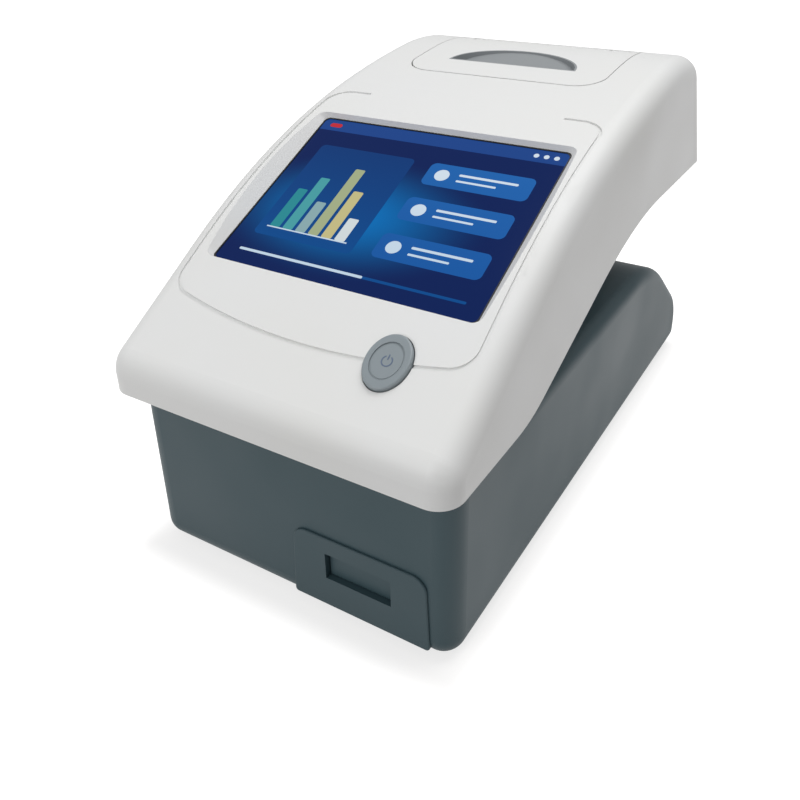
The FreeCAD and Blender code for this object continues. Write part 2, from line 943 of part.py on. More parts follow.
def rear_lip_y():
    """Where the leaning rear meets the lower edge."""
    trail = pod_top_trail(0)
    return trail.y + (trail.z - rear_lip_z) * math.tan(math.radians(rear_lean_deg))


def hinge_pin_end():
    """Half the length of the hinge pin."""
    return hinge_lug_x + hinge_lug_width


def hinge_lug(side):
    """Lug of the housing that holds one end of the hinge pin."""
    near = side * hinge_lug_x
    far = side * hinge_pin_end()
    eye = rod(hinge_lug_radius, vector(near, hinge_y, hinge_z), vector(far, hinge_y, hinge_z))
    arm = box(min(near, far), max(near, far), hinge_y, hinge_y + hinge_lug_reach,
              hinge_z - hinge_lug_radius, hinge_z + hinge_lug_rise)
    return eye.fuse(arm)


def button_stack():
    """Depth of the button board's face below the front slope."""
    flange = pod_wall + button_seat_gap + button_flange_thickness
    return flange + button_stem + switch_gap + switch_height


def under_cover():
    """Cover that closes the upper housing from below, with the cable window into the neck."""
    plate = under_space(under_thickness).common(pod_block(pod_wall + under_fit))
    posts = []
    for place in neck_post_places():
        low = vector(place.x, place.y, rear_lip_z)
        posts.append(rod(case_post_radius, low, low + z_axis * neck_post_height))
    for place in cover_post_places():
        low = vector(place.x, place.y, rear_lip_z)
        posts.append(rod(case_post_radius, low, vector(place.x, place.y, place.z + under_thickness)))
    plate = plate.multiFuse(posts).cut(under_space(0))
    y = nose_y + cable_window_back
    cuts = [box(-cable_window_width / 2, cable_window_width / 2, y, y + cable_window_length, 0,
                overall_length)]
    for place in cover_post_places():
        low = vector(place.x, place.y, 0)
        cuts.append(rod(case_head_radius + screw_clearance, low, place))
        cuts.append(rod(case_screw_radius, low, place + z_axis * case_screw_length))
    for place in front_post_places() + neck_post_places():
        cuts.append(rod(case_screw_radius, place, place + z_axis * case_screw_length))
    for place in bay_screw_places():
        cuts.append(rod(small_screw_radius, place - z_axis * small_screw_length, place))
    return plate.cut(cuts).removeSplitter()


def display_gasket():
    """Black seal between the glass and the housing."""
    outer = screen_plate(glass_lap, 0, gasket_thickness, pocket_corner)
    inner = screen_plate(-gasket_reveal, -gasket_thickness, 2 * gasket_thickness, pocket_corner)
    return on_screen(outer.cut(inner))


def touch_glass():
    """Touch glass of the screen."""
    return on_screen(screen_plate(glass_lap, -glass_thickness, 0, pocket_corner))


def display_module():
    """Display behind the glass, with its plug."""
    low = -glass_thickness - module_thickness
    block = screen_plate(glass_lap, low, -glass_thickness, pocket_corner)
    up = screen_height / 2
    plug = box(-module_plug_width / 2, module_plug_width / 2, up, up + module_plug_height,
               low - module_plug_height, low)
    return on_screen(block.fuse(plug))


def display_bracket():
    """Sheet bracket that holds the display up against the housing."""
    low = -glass_thickness - module_thickness
    half = display_post_x + post_radius
    up = screen_height / 2
    plate = box(-screen_width / 2, screen_width / 2, 0, screen_height, low - bracket_thickness, low)
    shapes = [plate]
    for end in display_post_ends:
        shapes.append(box(-half, half, end - bracket_flange, end + bracket_flange,
                          low - bracket_thickness, low))
    sheet = fuse(shapes)
    window = screen_width * bracket_window_share / 2
    tall = screen_height * bracket_window_share / 2
    cuts = [box(-window, window, up - tall, up + tall, low - overrun, low + overrun)]
    for x in (-display_post_x, display_post_x):
        for end in display_post_ends:
            cuts.append(rod(small_screw_radius, vector(x, end, low - overrun), vector(x, end, low + overrun)))
    return on_screen(sheet.cut(cuts))


def power_button():
    """Oval button with a ring groove, a flange that holds it in and a stem."""
    low = -pod_wall - button_seat_gap
    body = oval(button_half_width, button_half_height, low, button_proud)
    top = [edge for edge in body.Edges if edge.BoundBox.ZMin > button_proud - seat_gap]
    body = body.makeFillet(button_round, top)
    flange = oval(button_half_width + button_flange, button_half_height + button_flange,
                  low - button_flange_thickness, low)
    foot = low - button_flange_thickness
    stem = rod(button_stem_radius, vector(0, 0, foot - button_stem), vector(0, 0, low))
    body = body.multiFuse([flange, stem])
    ring = oval(button_ring_half_width + button_ring_width, button_ring_half_height + button_ring_width,
                button_proud - button_ring_depth, overrun)
    ring = ring.cut(oval(button_ring_half_width, button_ring_half_height, -overrun, 2 * overrun))
    dish = oval(button_ring_half_width, button_ring_half_height, button_proud - button_dish_depth, overrun)
    return on_button(body.cut([ring, dish]).removeSplitter())


def button_switch():
    """Switch housing under the button, with a bore for its plunger."""
    low = -button_stack()
    half = switch_size / 2
    body = box(-half, half, -half, half, low, low + switch_height)
    top = low + switch_height
    bore = rod(switch_plunger_radius + running_gap, vector(0, 0, top - switch_bore_depth),
               vector(0, 0, top + seat_gap))
    return on_button(body.cut(bore))


def switch_plunger():
    """Plunger of the switch, moved by the stem of the button."""
    top = -pod_wall - button_seat_gap - button_flange_thickness - button_stem
    return on_button(rod(switch_plunger_radius, vector(0, 0, top - switch_plunger_length),
                         vector(0, 0, top)))


def button_board():
    """Small board that carries the switch."""
    top = -button_stack()
    half = button_board_width / 2
    tall = button_board_height / 2
    board = box(-half, half, -tall, tall, top - board_thickness, top)
    cuts = [rod(small_screw_radius, vector(x, 0, top - board_thickness), vector(x, 0, top))
            for x in (-button_post_x, button_post_x)]
    return on_button(board.cut(cuts))


def recess_column(shrink):
    """Half-oval column over the finger recess, made smaller all round."""
    column = oval(recess_half_width - shrink, recess_length - shrink, 0, overall_length)
    column.translate(vector(0, recess_y, 0))
    return column.cut(box(-pod_width, pod_width, nose_y, recess_y + shrink, -overrun, 2 * overall_length))


def recess_floor(drop):
    """Space above the sloping floor of the finger recess, lowered by a drop."""
    far_y = recess_y + recess_length
    near_z = roof_height(recess_y) - recess_depth - drop
    far_z = roof_height(far_y) - recess_end_depth - drop
    trail = Trail(recess_y, near_z, 0)
    trail.go_to(far_y, far_z)
    trail.go_to(far_y, far_z + overrun)
    trail.go_to(recess_y, near_z + overrun)
    return trail.prism(pod_width)


def printer_door():
    """Curved door over the printer, with its hinge barrel along the rear edge."""
    shell = pod_block(0).cut(pod_block(door_thickness))
    plate = door_region(0, 0, hinge_y).common(shell)
    barrel = rod(hinge_barrel_radius, vector(-door_half_width, hinge_y, hinge_z),
                 vector(door_half_width, hinge_y, hinge_z))
    whole = plate.fuse(barrel)
    cuts = [recess_column(0)]
    for side in (-1, 1):
        near = side * (hinge_lug_x - hinge_side_gap)
        far = side * (hinge_pin_end() + hinge_side_gap)
        reach = hinge_barrel_radius + hinge_gap
        cuts.append(box(min(near, far), max(near, far), hinge_y - reach, hinge_y + reach, 0,
                        overall_length))
    cuts.append(rod(hinge_pin_radius + hinge_running, vector(-pod_width, hinge_y, hinge_z),
                    vector(pod_width, hinge_y, hinge_z)))
    return whole.cut(cuts).removeSplitter()


def finger_recess():
    """Insert that forms the finger recess in the door."""
    pan = recess_column(0).common(pod_block(0)).common(recess_floor(recess_wall))
    return pan.cut(recess_column(recess_rim).common(recess_floor(0)))


def door_hinge_pin():
    """Steel pin of the door hinge."""
    end = hinge_pin_end()
    return rod(hinge_pin_radius, vector(-end, hinge_y, hinge_z), vector(end, hinge_y, hinge_z))


def paper_bay():
    """Tub for the paper roll, open at the top, with notches for the spindle."""
    half = paper_width / 2 + bay_side_gap
    reach = roll_outer_radius + bay_roll_gap
    floor = roll_z - roll_outer_radius - bay_floor_gap
    top = roll_z + roll_outer_radius + bay_top_gap
    outer = box(-half - bay_wall, half + bay_wall, roll_y - reach - bay_wall, roll_y + reach + bay_wall,
                lip_z, top)
    ears = box(-half - bay_wall - bay_ear_reach, half + bay_wall + bay_ear_reach,
               roll_y - bay_ear_length / 2, roll_y + bay_ear_length / 2, lip_z, bay_ear_top())
    cuts = [box(-half, half, roll_y - reach, roll_y + reach, floor, overall_length)]
    cuts.append(box(-half, half, roll_y - reach, roll_y + reach, 0, floor - bay_wall))
    slot = spindle_radius + spindle_running
    cuts.append(rod(slot, vector(-pod_width, roll_y, roll_z), vector(pod_width, roll_y, roll_z)))
    cuts.append(box(-pod_width, pod_width, roll_y - slot, roll_y + slot, roll_z, overall_length))
    cuts.append(under_space(under_thickness))
    cuts += [rod(small_screw_radius, place - z_axis * small_screw_length, place)
             for place in bay_screw_places()]
    cuts += [rod(small_screw_radius, place, place + y_axis * small_screw_length)
             for place in frame_screw_places()]
    return outer.fuse(ears).cut(cuts).removeSplitter()


def bay_ear_top():
    """Top of the feet of the paper bay."""
    return rear_lip_z + under_thickness + bay_ear_height


def bay_screw_places():
    """Screws that hold the paper bay on the lower cover."""
    x = paper_width / 2 + bay_side_gap + bay_wall + bay_ear_reach / 2
    return [vector(side * x, roll_y, bay_ear_top()) for side in (-1, 1)]


def bay_front_y():
    """Front face of the paper bay."""
    return roll_y - roll_outer_radius - bay_roll_gap - bay_wall


def frame_screw_places():
    """Screws that hold the printer frame on the paper bay."""
    y = bay_front_y() - frame_plate
    return [vector(side * frame_screw_x, y, frame_screw_z) for side in (-1, 1)]


def paper_roll():
    """Roll of printer paper."""
    half = paper_width / 2
    ends = (vector(-half, roll_y, roll_z), vector(half, roll_y, roll_z))
    return rod(roll_outer_radius, *ends).cut(rod(core_outer_radius, *ends))


def paper_core():
    """Card core of the paper roll."""
    half = paper_width / 2
    ends = (vector(-half, roll_y, roll_z), vector(half, roll_y, roll_z))
    return rod(core_outer_radius, *ends).cut(rod(core_outer_radius - core_wall, *ends))


def paper_spindle():
    """Spindle with two hubs that carry the core, and heads outside the bay walls."""
    half = paper_width / 2
    wall = half + bay_side_gap + bay_wall + spindle_side_gap
    end = wall + spindle_head_thickness
    shapes = [rod(spindle_radius, vector(-end, roll_y, roll_z), vector(end, roll_y, roll_z))]
    for side in (-1, 1):
        near = side * (half - spindle_hub_in - spindle_hub_width)
        far = side * (half - spindle_hub_in)
        shapes.append(rod(core_outer_radius - core_wall, vector(near, roll_y, roll_z),
                          vector(far, roll_y, roll_z)))
        shapes.append(rod(spindle_head_radius, vector(side * wall, roll_y, roll_z),
                          vector(side * end, roll_y, roll_z)))
    return fuse(shapes)


def frame_side(side):
    """One side plate of the printer frame."""
    near = side * frame_half_width
    far = side * (frame_half_width + frame_plate)
    low = pinion_z - frame_reach
    return box(min(near, far), max(near, far), pinion_y - frame_reach, bay_front_y(), low,
               platen_z + frame_rise)


def printer_frame():
    """Sheet frame of the printer: two sides, a front cross bar, a rear bar and the idler stud."""
    half = frame_half_width + frame_plate
    shapes = [frame_side(-1), frame_side(1)]
    rear = bay_front_y()
    shapes.append(box(-half, half, rear - frame_plate, rear, frame_bar_low,
                      frame_bar_low + frame_bar_height))
    front = sink_front_y()
    low = platen_z - cross_bar_low
    shapes.append(box(-half, half, front - cross_bar_thickness, front, low, platen_z + frame_rise))
    stud_end = half + gear_side_gap + gear_width
    shapes.append(rod(stud_radius, vector(frame_half_width, idler_y, idler_z),
                      vector(stud_end, idler_y, idler_z)))
    cuts = [rod(platen_shaft_radius + running_gap, vector(-pod_width, platen_y, platen_z),
                vector(pod_width, platen_y, platen_z))]
    cuts.append(rod(motor_shaft_radius + motor_hole_gap, vector(0, pinion_y, pinion_z),
                    vector(pod_width, pinion_y, pinion_z)))
    cuts += [rod(small_screw_radius, place, place + y_axis * small_screw_length)
             for place in frame_screw_places()]
    return fuse(shapes).cut(cuts)


def sink_front_y():
    """Front face of the heat sink behind the print head."""
    return platen_y - platen_radius - head_gap - head_thickness - sink_thickness


def platen_roller():
    """Rubber of the platen roller."""
    ends = (vector(-platen_half_length, platen_y, platen_z), vector(platen_half_length, platen_y, platen_z))
    return rod(platen_radius, *ends).cut(rod(platen_shaft_radius, *ends))


def gear_start():
    """Inner face of the printer gears."""
    return frame_half_width + frame_plate + gear_side_gap


def platen_shaft():
    """Steel shaft of the platen roller."""
    return rod(platen_shaft_radius, vector(-frame_half_width - 2 * frame_plate, platen_y, platen_z),
               vector(gear_start() + gear_width, platen_y, platen_z))


def platen_gear():
    """Gear on the platen shaft."""
    face = small_gear(platen_teeth, idler_deg)
    return gear(face, gear_start(), gear_width, platen_shaft_radius, platen_y, platen_z)


def idler_turn():
    """Turn of the idler gear."""
    return mesh_turn(idler_deg, platen_teeth, idler_teeth, idler_deg)


def idler_gear():
    """Gear between the platen and the motor."""
    face = small_gear(idler_teeth, idler_turn())
    return gear(face, gear_start(), gear_width, stud_radius + running_gap, idler_y, idler_z)


def printer_pinion():
    """Pinion of the printer motor, with its shaft."""
    turn = mesh_turn(idler_turn(), idler_teeth, printer_pinion_teeth, printer_pinion_deg)
    wheel = gear(small_gear(printer_pinion_teeth, turn), gear_start(), gear_width, 0, pinion_y, pinion_z)
    shaft = rod(motor_shaft_radius, vector(frame_half_width - motor_shaft_in, pinion_y, pinion_z),
                vector(gear_start() + gear_width, pinion_y, pinion_z))
    return fuse([wheel, shaft])


def printer_motor():
    """Motor of the paper feed."""
    face = vector(frame_half_width, pinion_y, pinion_z)
    body = rod(printer_motor_radius, face - x_axis * printer_motor_length, face)
    return body.cut(rod(motor_shaft_radius + running_gap, face - x_axis * (motor_shaft_in + seat_gap),
                        face + x_axis))


def print_head():
    """Thermal print head against the platen."""
    front = sink_front_y() + sink_thickness
    low = platen_z - head_drop
    return box(-platen_half_length, platen_half_length, front, front + head_thickness, low,
               low + head_height)


def head_heat_sink():
    """Finned heat sink behind the print head."""
    front = sink_front_y()
    low = platen_z - cross_bar_low
    block = box(-platen_half_length, platen_half_length, front, front + sink_thickness, low,
                low + sink_height)
    pitch = 2 * platen_half_length / sink_fin_count
    cuts = []
    for fin in range(sink_fin_count - 1):
        x = -platen_half_length + pitch * (fin + 1)
        cuts.append(box(x - (pitch - sink_fin_width) / 2, x + (pitch - sink_fin_width) / 2, front,
                        front + sink_fin_depth, 0, overall_length))
    return block.cut(cuts)


def tear_bar():
    """Toothed bar to tear the paper on."""
    front = sink_front_y() - cross_bar_thickness
    half = platen_half_length
    rear = front + tear_bar_depth
    points = [vector(-half, front, 0), vector(half, front, 0), vector(half, rear, 0)]
    pitch = 2 * half / tear_bar_teeth
    for tooth in range(tear_bar_teeth):
        x = half - pitch * tooth
        points.append(vector(x - pitch / 2, rear + tear_tooth, 0))
        points.append(vector(x - pitch, rear, 0))
    points.append(points[0])
    bar = Part.Face(Part.makePolygon(points)).extrude(z_axis * tear_bar_thickness)
    bar.translate(vector(0, 0, platen_z + frame_rise))
    return bar


def neck_column(shrink):
    """Column over the neck, made smaller all round."""
    half = neck_width / 2 - shrink
    y = nose_y + neck_front
    return rounded_plate(-half, half, y + shrink, y + neck_length - shrink, deck_z - neck_root,
                         rear_lip_z + overrun, max(neck_corner_radius - shrink, seat_gap))


def port_space(grow, front):
    """Recess at the rear for the plugs, made larger all round."""
    half = port_recess_width / 2 + grow
    return box(-half, half, front, tail_y + overrun, port_recess_low - grow, port_recess_high + grow)


def port_post_places():
    """Screws that hold the port panel."""
    x = port_recess_width / 2 + base_wall + port_ear_width / 2
    z = port_ear_low + port_ear_height / 2
    return [vector(side * x, port_panel_y - port_panel_thickness, z) for side in (-1, 1)]


def base_housing():
    """Base shell with its neck, the opening for the strip platform and the recess for the plugs."""
    outer = base_block(0, bottom_z)
    shell = outer.cut([base_block(base_wall, floor_z), cover_plate(0)])
    neck = neck_column(0).common(under_space(0))
    tunnel = port_space(base_wall, port_panel_y).common(outer)
    shapes = [neck, tunnel]
    keep = base_block(base_wall / 2, bottom_z)
    posts = []
    for place in base_post_places():
        low = vector(place.x, place.y, floor_z)
        posts.append(rod(case_post_radius, low, low + z_axis * deck_z))
        posts.append(box(min(place.x, math.copysign(base_width, place.x)),
                         max(place.x, math.copysign(base_width, place.x)),
                         place.y - base_wall / 2, place.y + base_wall / 2, floor_z, deck_z))
    for place in port_post_places():
        start = place + y_axis * port_panel_thickness
        posts.append(rod(post_radius, start, start + y_axis * port_post_length))
        inner = math.copysign(port_recess_width / 2 + base_wall / 2, place.x)
        posts.append(box(min(inner, place.x), max(inner, place.x), start.y, start.y + port_post_length,
                         place.z - base_wall / 2, place.z + base_wall / 2))
    shapes += [post.common(keep) for post in posts]
    solid = shell.multiFuse(shapes)
    inner_neck = neck_column(base_wall).common(under_space(-neck_rim_height))
    cuts = [inner_neck, neck_column(base_wall + neck_rim)]
    cuts.append(port_space(0, port_panel_y - base_wall))
    middle = panel_x
    cuts.append(box(middle - spigot_width / 2, middle + spigot_width / 2, base_front_y - overrun,
                    base_front_y + base_wall + seat_gap, spigot_low, spigot_high))
    for place in base_post_places() + front_post_places():
        cuts.append(rod(case_screw_radius, place, place + z_axis * case_screw_length))
    for place in neck_post_places():
        cuts.append(rod(case_screw_radius, place, place + z_axis * case_screw_length))
    for place in port_post_places():
        cuts.append(rod(small_screw_radius, place, place + y_axis * small_screw_length))
    return solid.cut(cuts).removeSplitter()


def cover_plate(shrink):
    """Flat plate of the bottom cover, made smaller all round."""
    half = base_width / 2 - cover_inset - shrink
    return rounded_plate(-half, half, base_front_y + cover_inset + shrink, tail_y - cover_inset - shrink,
                         bottom_z, floor_z, cover_corner_radius)


def bottom_cover():
    """Cover under the base, with vents, board posts and seats for the feet."""
    plate = cover_plate(cover_fit)
    posts = [rod(post_radius, vector(x, y, floor_z), vector(x, y, board_z)) for x, y in board_posts()]
    plate = plate.multiFuse(posts)
    cuts = []
    for x, y in foot_places():
        cuts.append(rod(foot_radius, vector(x, y, 0), vector(x, y, foot_height + foot_sink)))
    for place in base_post_places():
        low = vector(place.x, place.y, 0)
        cuts.append(rod(case_head_radius + screw_clearance, low, place))
        cuts.append(rod(case_screw_radius, low, place + z_axis * case_screw_length))
    for slot in range(vent_count):
        x = vent_x + vent_pitch * (slot - vent_count // 2)
        y = nose_y + vent_back
        cuts.append(box(x - vent_width / 2, x + vent_width / 2, y, y + vent_length, 0, floor_z + seat_gap))
    for x, y in board_posts():
        top = board_z + board_thickness
        cuts.append(rod(small_screw_radius, vector(x, y, top - small_screw_length), vector(x, y, top)))
    for place in transport_screw_places():
        cuts.append(rod(small_screw_radius, place - z_axis * small_screw_length, place))
    return plate.cut(cuts).removeSplitter()


def board_posts():
    """Places of the posts under the main board."""
    x = board_width / 2 - board_post_in
    near = board_rear_y - port_panel_thickness - board_length + board_post_in
    far = board_rear_y - port_panel_thickness - board_post_in * 2
    return [(side * x, y) for side in (-1, 1) for y in (near, far)]


def foot_places():
    """Places of the feet."""
    x = base_width / 2 - foot_inset_x
    return [(side * x, nose_y + back) for side in (-1, 1) for back in (foot_front, foot_rear)]


def rubber_feet():
    """Four rubber feet."""
    return Part.makeCompound([rod(foot_radius, vector(x, y, 0), vector(x, y, foot_height + foot_sink))
                              for x, y in foot_places()])


def tray_panel():
    """Panel at the front with the window of the strip platform."""
    front = base_front_y - panel_proud
    outline = [vector(panel_x - panel_half_width - panel_flare, front, panel_low),
               vector(panel_x + panel_half_width + panel_flare, front, panel_low),
               vector(panel_x + panel_half_width, front, panel_high),
               vector(panel_x - panel_half_width, front, panel_high)]
    face = Part.Face(Part.makePolygon(outline + outline[:1]))
    block = face.extrude(y_axis * (panel_proud + panel_wrap))
    along = [edge for edge in block.Edges if abs(edge.tangentAt(edge.FirstParameter).y) > 0.5]
    middle_z = (panel_low + panel_high) / 2
    block = block.makeFillet(panel_corner_radius, [e for e in along if e.CenterOfMass.z > middle_z])
    along = [edge for edge in block.Edges if abs(edge.tangentAt(edge.FirstParameter).y) > 0.5]
    lowest = [e for e in along if e.CenterOfMass.z < panel_low + seat_gap]
    block = block.makeFillet(panel_foot_radius, lowest)
    rim = [edge for edge in block.Edges if edge.BoundBox.YMax < front + seat_gap]
    block = block.makeFillet(panel_edge_radius, rim)
    block = block.cut(base_block(0, bottom_z))
    half = spigot_width / 2 - spigot_fit
    spigot = box(panel_x - half, panel_x + half, base_front_y - seat_gap, base_front_y + spigot_reach,
                 spigot_low + spigot_fit, spigot_high - spigot_fit)
    window = box(window_x - window_width / 2, window_x + window_width / 2, nose_y - overrun,
                 base_front_y + 2 * spigot_reach, window_low, window_high)
    return block.fuse(spigot).cut(window).removeSplitter()


def rear_panel():
    """Panel that frames the sockets at the rear."""
    lap = port_recess_width / 2 + port_panel_lap
    rear = port_panel_y
    front = rear - port_panel_thickness
    plate = box(-lap, lap, front, rear, port_recess_low - port_panel_lap, port_recess_high + port_panel_lap)
    ear = port_recess_width / 2 + base_wall + port_ear_width
    ears = box(-ear, ear, front, rear, port_ear_low, port_ear_low + port_ear_height)
    plate = plate.fuse(ears)
    cuts = [port_hole(serial_x, serial_shell_width, serial_shell_height, serial_middle_z()),
            port_hole(inlet_x, inlet_width, inlet_height, port_base_z() + inlet_height / 2)]
    for x, width, height in zip(usb_x, usb_width, usb_height):
        cuts.append(port_hole(x, width, height, port_base_z() + height / 2))
    for side in (-1, 1):
        x = serial_x + side * jackscrew_spacing / 2
        cuts.append(rod(jackscrew_radius, vector(x, front, serial_middle_z()),
                        vector(x, rear, serial_middle_z())))
    cuts += [rod(small_screw_radius, place, place + y_axis * small_screw_length)
             for place in port_post_places()]
    return plate.cut(cuts).removeSplitter()


def port_base_z():
    """Top of the main board."""
    return board_z + board_thickness


def serial_middle_z():
    """Height of the middle of the serial socket."""
    return port_base_z() + serial_flange_height / 2


def port_hole(x, width, height, z):
    """Hole in the port panel."""
    half = width / 2 + port_gap
    tall = height / 2 + port_gap
    return box(x - half, x + half, port_panel_y - overrun, port_panel_y + overrun, z - tall, z + tall)


def strip_platform():
    """Platform that carries the strip, with grooves for the rails, a rack bed and a rear flag."""
    half = platform_width / 2
    rear = platform_front_y + platform_length
    body = box(window_x - half, window_x + half, platform_front_y, rear, platform_low, platform_high)
    flag = box(flag_x - flag_thickness / 2, flag_x + flag_thickness / 2, rear, rear + flag_length,
               platform_low, platform_low + flag_height)
    body = body.fuse(flag)
    low = platform_low + platform_groove_low
    cuts = []
    for side in (-1, 1):
        outer = window_x + side * half
        inner = outer - side * platform_groove_depth
        cuts.append(box(min(outer, inner), max(outer, inner), platform_front_y + insert_setback, rear, low,
                        low + platform_groove_height))
    start = platform_front_y + insert_setback
    cuts.append(box(window_x - insert_width / 2, window_x + insert_width / 2, start, start + insert_length,
                    platform_high - insert_height, platform_high))
    pad = platform_front_y + pad_setback
    cuts.append(box(window_x - pad_size / 2, window_x + pad_size / 2, pad, pad + pad_size,
                    platform_high - pad_thickness, platform_high))
    cuts.append(box(rack_x - rack_width / 2, rack_x + rack_width / 2, rack_start(), rack_end_y(),
                    platform_low, platform_low + rack_height))
    return body.cut(cuts)


def rack_pitch():
    """Distance from tooth to tooth of the rack."""
    return math.pi * rack_module


def rack_start():
    """Front end of the rack."""
    return axle_y - rack_pitch() * rack_front_teeth - rack_end


def rack_end_y():
    """Rear end of the rack."""
    return axle_y + rack_pitch() * rack_rear_teeth + rack_end


def platform_rack():
    """Toothed rack under the platform, a tooth right over the drive pinion."""
    top = platform_low + rack_height
    pitch_z = platform_low + rack_module * rack_tip_share
    root_z = pitch_z + rack_module * rack_root_share
    half = (rack_pitch() - rack_backlash) / 2 / 2
    slope = math.tan(math.radians(pressure_deg))
    wide = half + (root_z - pitch_z) * slope
    narrow = half - (pitch_z - platform_low) * slope
    points = [vector(0, rack_end_y(), root_z), vector(0, rack_end_y(), top),
              vector(0, rack_start(), top), vector(0, rack_start(), root_z)]
    for tooth in range(-rack_front_teeth, rack_rear_teeth + 1):
        y = axle_y + rack_pitch() * tooth
        if y - wide > rack_start():
            points.append(vector(0, y - wide, root_z))
        points.append(vector(0, y - narrow, platform_low))
        points.append(vector(0, y + narrow, platform_low))
        if y + wide < rack_end_y():
            points.append(vector(0, y + wide, root_z))
    points.append(points[0])
    face = Part.Face(Part.makePolygon(points))
    face.translate(vector(rack_x - rack_width / 2, 0, 0))
    return face.extrude(x_axis * rack_width)


def strip_insert():
    """Removable insert with the channel for the test strip and a well for what drips."""
    half = insert_width / 2 - insert_fit
    start = platform_front_y + insert_setback + insert_fit
    end = platform_front_y + insert_setback + insert_length - insert_fit
    body = box(window_x - half, window_x + half, start, end, platform_high - insert_height, platform_high)
    channel = box(window_x - strip_channel_width / 2, window_x + strip_channel_width / 2,
                  start + insert_setback, start + insert_setback + strip_channel_length,
                  platform_high - strip_channel_depth, overall_length)
    well = box(window_x - strip_well_length / 2, window_x + strip_well_length / 2,
               start + insert_setback, start + insert_setback + strip_well_length,
               platform_high - strip_well_depth, overall_length)
    return body.cut([channel, well])


def reference_pad():
    """White pad that the reading head is checked against."""
    y = platform_front_y + pad_setback
    return box(window_x - pad_size / 2, window_x + pad_size / 2, y, y + pad_size,
               platform_high - pad_thickness, platform_high)


def channel_side(side):
    """Inner face of one side of the platform's channel."""
    return window_x + side * (platform_width / 2 + channel_gap)


def guide_rails():
    """Two steel rails that the platform slides on."""
    rails = []
    low = platform_low + platform_groove_low + rail_gap
    high = platform_low + platform_groove_low + platform_groove_height - rail_gap
    for side in (-1, 1):
        outer = channel_side(side) + side * rail_sink
        inner = window_x + side * (platform_width / 2 - platform_groove_depth + rail_gap)
        rails.append(box(min(outer, inner), max(outer, inner), nose_y + channel_back,
                         nose_y + channel_back + channel_length, low, high))
    return Part.makeCompound(rails)


def transport_screw_places():
    """Screws that hold the transport frame on the bottom cover."""
    x = channel_side(1) + channel_wall + transport_ear / 2
    backs = transport_screw_backs + (channel_end_back - transport_screw_end,)
    return [vector(x, nose_y + back, channel_floor_z) for back in backs]


def transport_frame():
    """Channel of the platform, with the motor tower and the seat of the home sensor."""
    y0 = nose_y + channel_back
    y1 = y0 + channel_length
    shapes = [box(channel_side(-1) - channel_wall, channel_side(1) + channel_wall, y0, y1, floor_z,
                  channel_floor_z)]
    for side in (-1, 1):
        inner = channel_side(side)
        outer = inner + side * channel_wall
        shapes.append(box(min(inner, outer), max(inner, outer), y0, y1, floor_z, channel_high))
    for place in transport_screw_places():
        shapes.append(box(channel_side(1), place.x + transport_ear / 2, place.y - transport_ear / 2,
                          place.y + transport_ear / 2, floor_z, channel_floor_z))
    tower_y = drive_motor_y
    shapes.append(box(tower_x, tower_x + tower_thickness, tower_y - tower_half_length,
                      tower_y + tower_half_length, floor_z, tower_high))
    for side in (-1, 1):
        edge = tower_y + side * tower_half_length
        inner = edge - side * tower_thickness
        shapes.append(box(tower_x, channel_side(-1), min(edge, inner), max(edge, inner), floor_z,
                          channel_high))
    seat_low = home_sensor_low()
    seat_y = home_sensor_y()
    half = sensor_width / 2
    shapes.append(box(flag_x - half, flag_x + half, seat_y, seat_y + sensor_length, floor_z, seat_low))
    cuts = [rod(axle_radius + running_gap, vector(tower_x + tower_thickness, axle_y, axle_z),
                vector(axle_end + seat_gap, axle_y, axle_z))]
    cuts.append(rod(motor_boss_radius, vector(tower_x, drive_motor_y, drive_motor_z),
                    vector(tower_x + tower_thickness, drive_motor_y, drive_motor_z)))
    for side in (-1, 1):
        outer = channel_side(side) + side * rail_sink
        inner = channel_side(side)
        low = platform_low + platform_groove_low + rail_gap
        high = platform_low + platform_groove_low + platform_groove_height - rail_gap
        cuts.append(box(min(outer, inner), max(outer, inner), y0, y1, low, high))
    for place in drive_screw_places():
        cuts.append(rod(small_screw_radius, place, place + x_axis * small_screw_length)
                    .common(box(tower_x, tower_x + tower_thickness, nose_y, tail_y, 0, overall_length)))
    cuts += [rod(small_screw_radius, place - z_axis * small_screw_length, place)
             for place in transport_screw_places()]
    return fuse(shapes).cut(cuts)


def drive_screw_places():
    """Screws that hold the drive motor on the tower."""
    reach = (drive_motor_radius + motor_ear_reach) / 2
    return [vector(tower_x - motor_flange_thickness, drive_motor_y + side * reach, drive_motor_z)
            for side in (-1, 1)]


def drive_motor():
    """Motor that drives the platform."""
    face = vector(tower_x, drive_motor_y, drive_motor_z)
    body = rod(drive_motor_radius, face - x_axis * drive_motor_length, face)
    half = motor_ear_width / 2
    ears = box(tower_x - motor_flange_thickness, tower_x, drive_motor_y - motor_ear_reach,
               drive_motor_y + motor_ear_reach, drive_motor_z - half, drive_motor_z + half)
    boss = rod(motor_boss_radius, face, face + x_axis * tower_thickness)
    cuts = [rod(motor_shaft_radius + running_gap, face - x_axis * (motor_shaft_in + seat_gap),
                face + x_axis * overrun)]
    cuts += [rod(small_screw_radius, place, place + x_axis * small_screw_length)
             for place in drive_screw_places()]
    return fuse([body, ears, boss]).cut(cuts)


def motor_pinion():
    """Pinion of the drive motor, with its shaft."""
    turn = mesh_turn(motor_deg, reduction_teeth, motor_pinion_teeth, motor_deg)
    wheel = gear(small_gear(motor_pinion_teeth, turn), reduction_x, reduction_width, 0, drive_motor_y,
                 drive_motor_z)
    shaft = rod(motor_shaft_radius, vector(tower_x - motor_shaft_in, drive_motor_y, drive_motor_z),
                vector(reduction_x + reduction_width, drive_motor_y, drive_motor_z))
    return fuse([wheel, shaft])


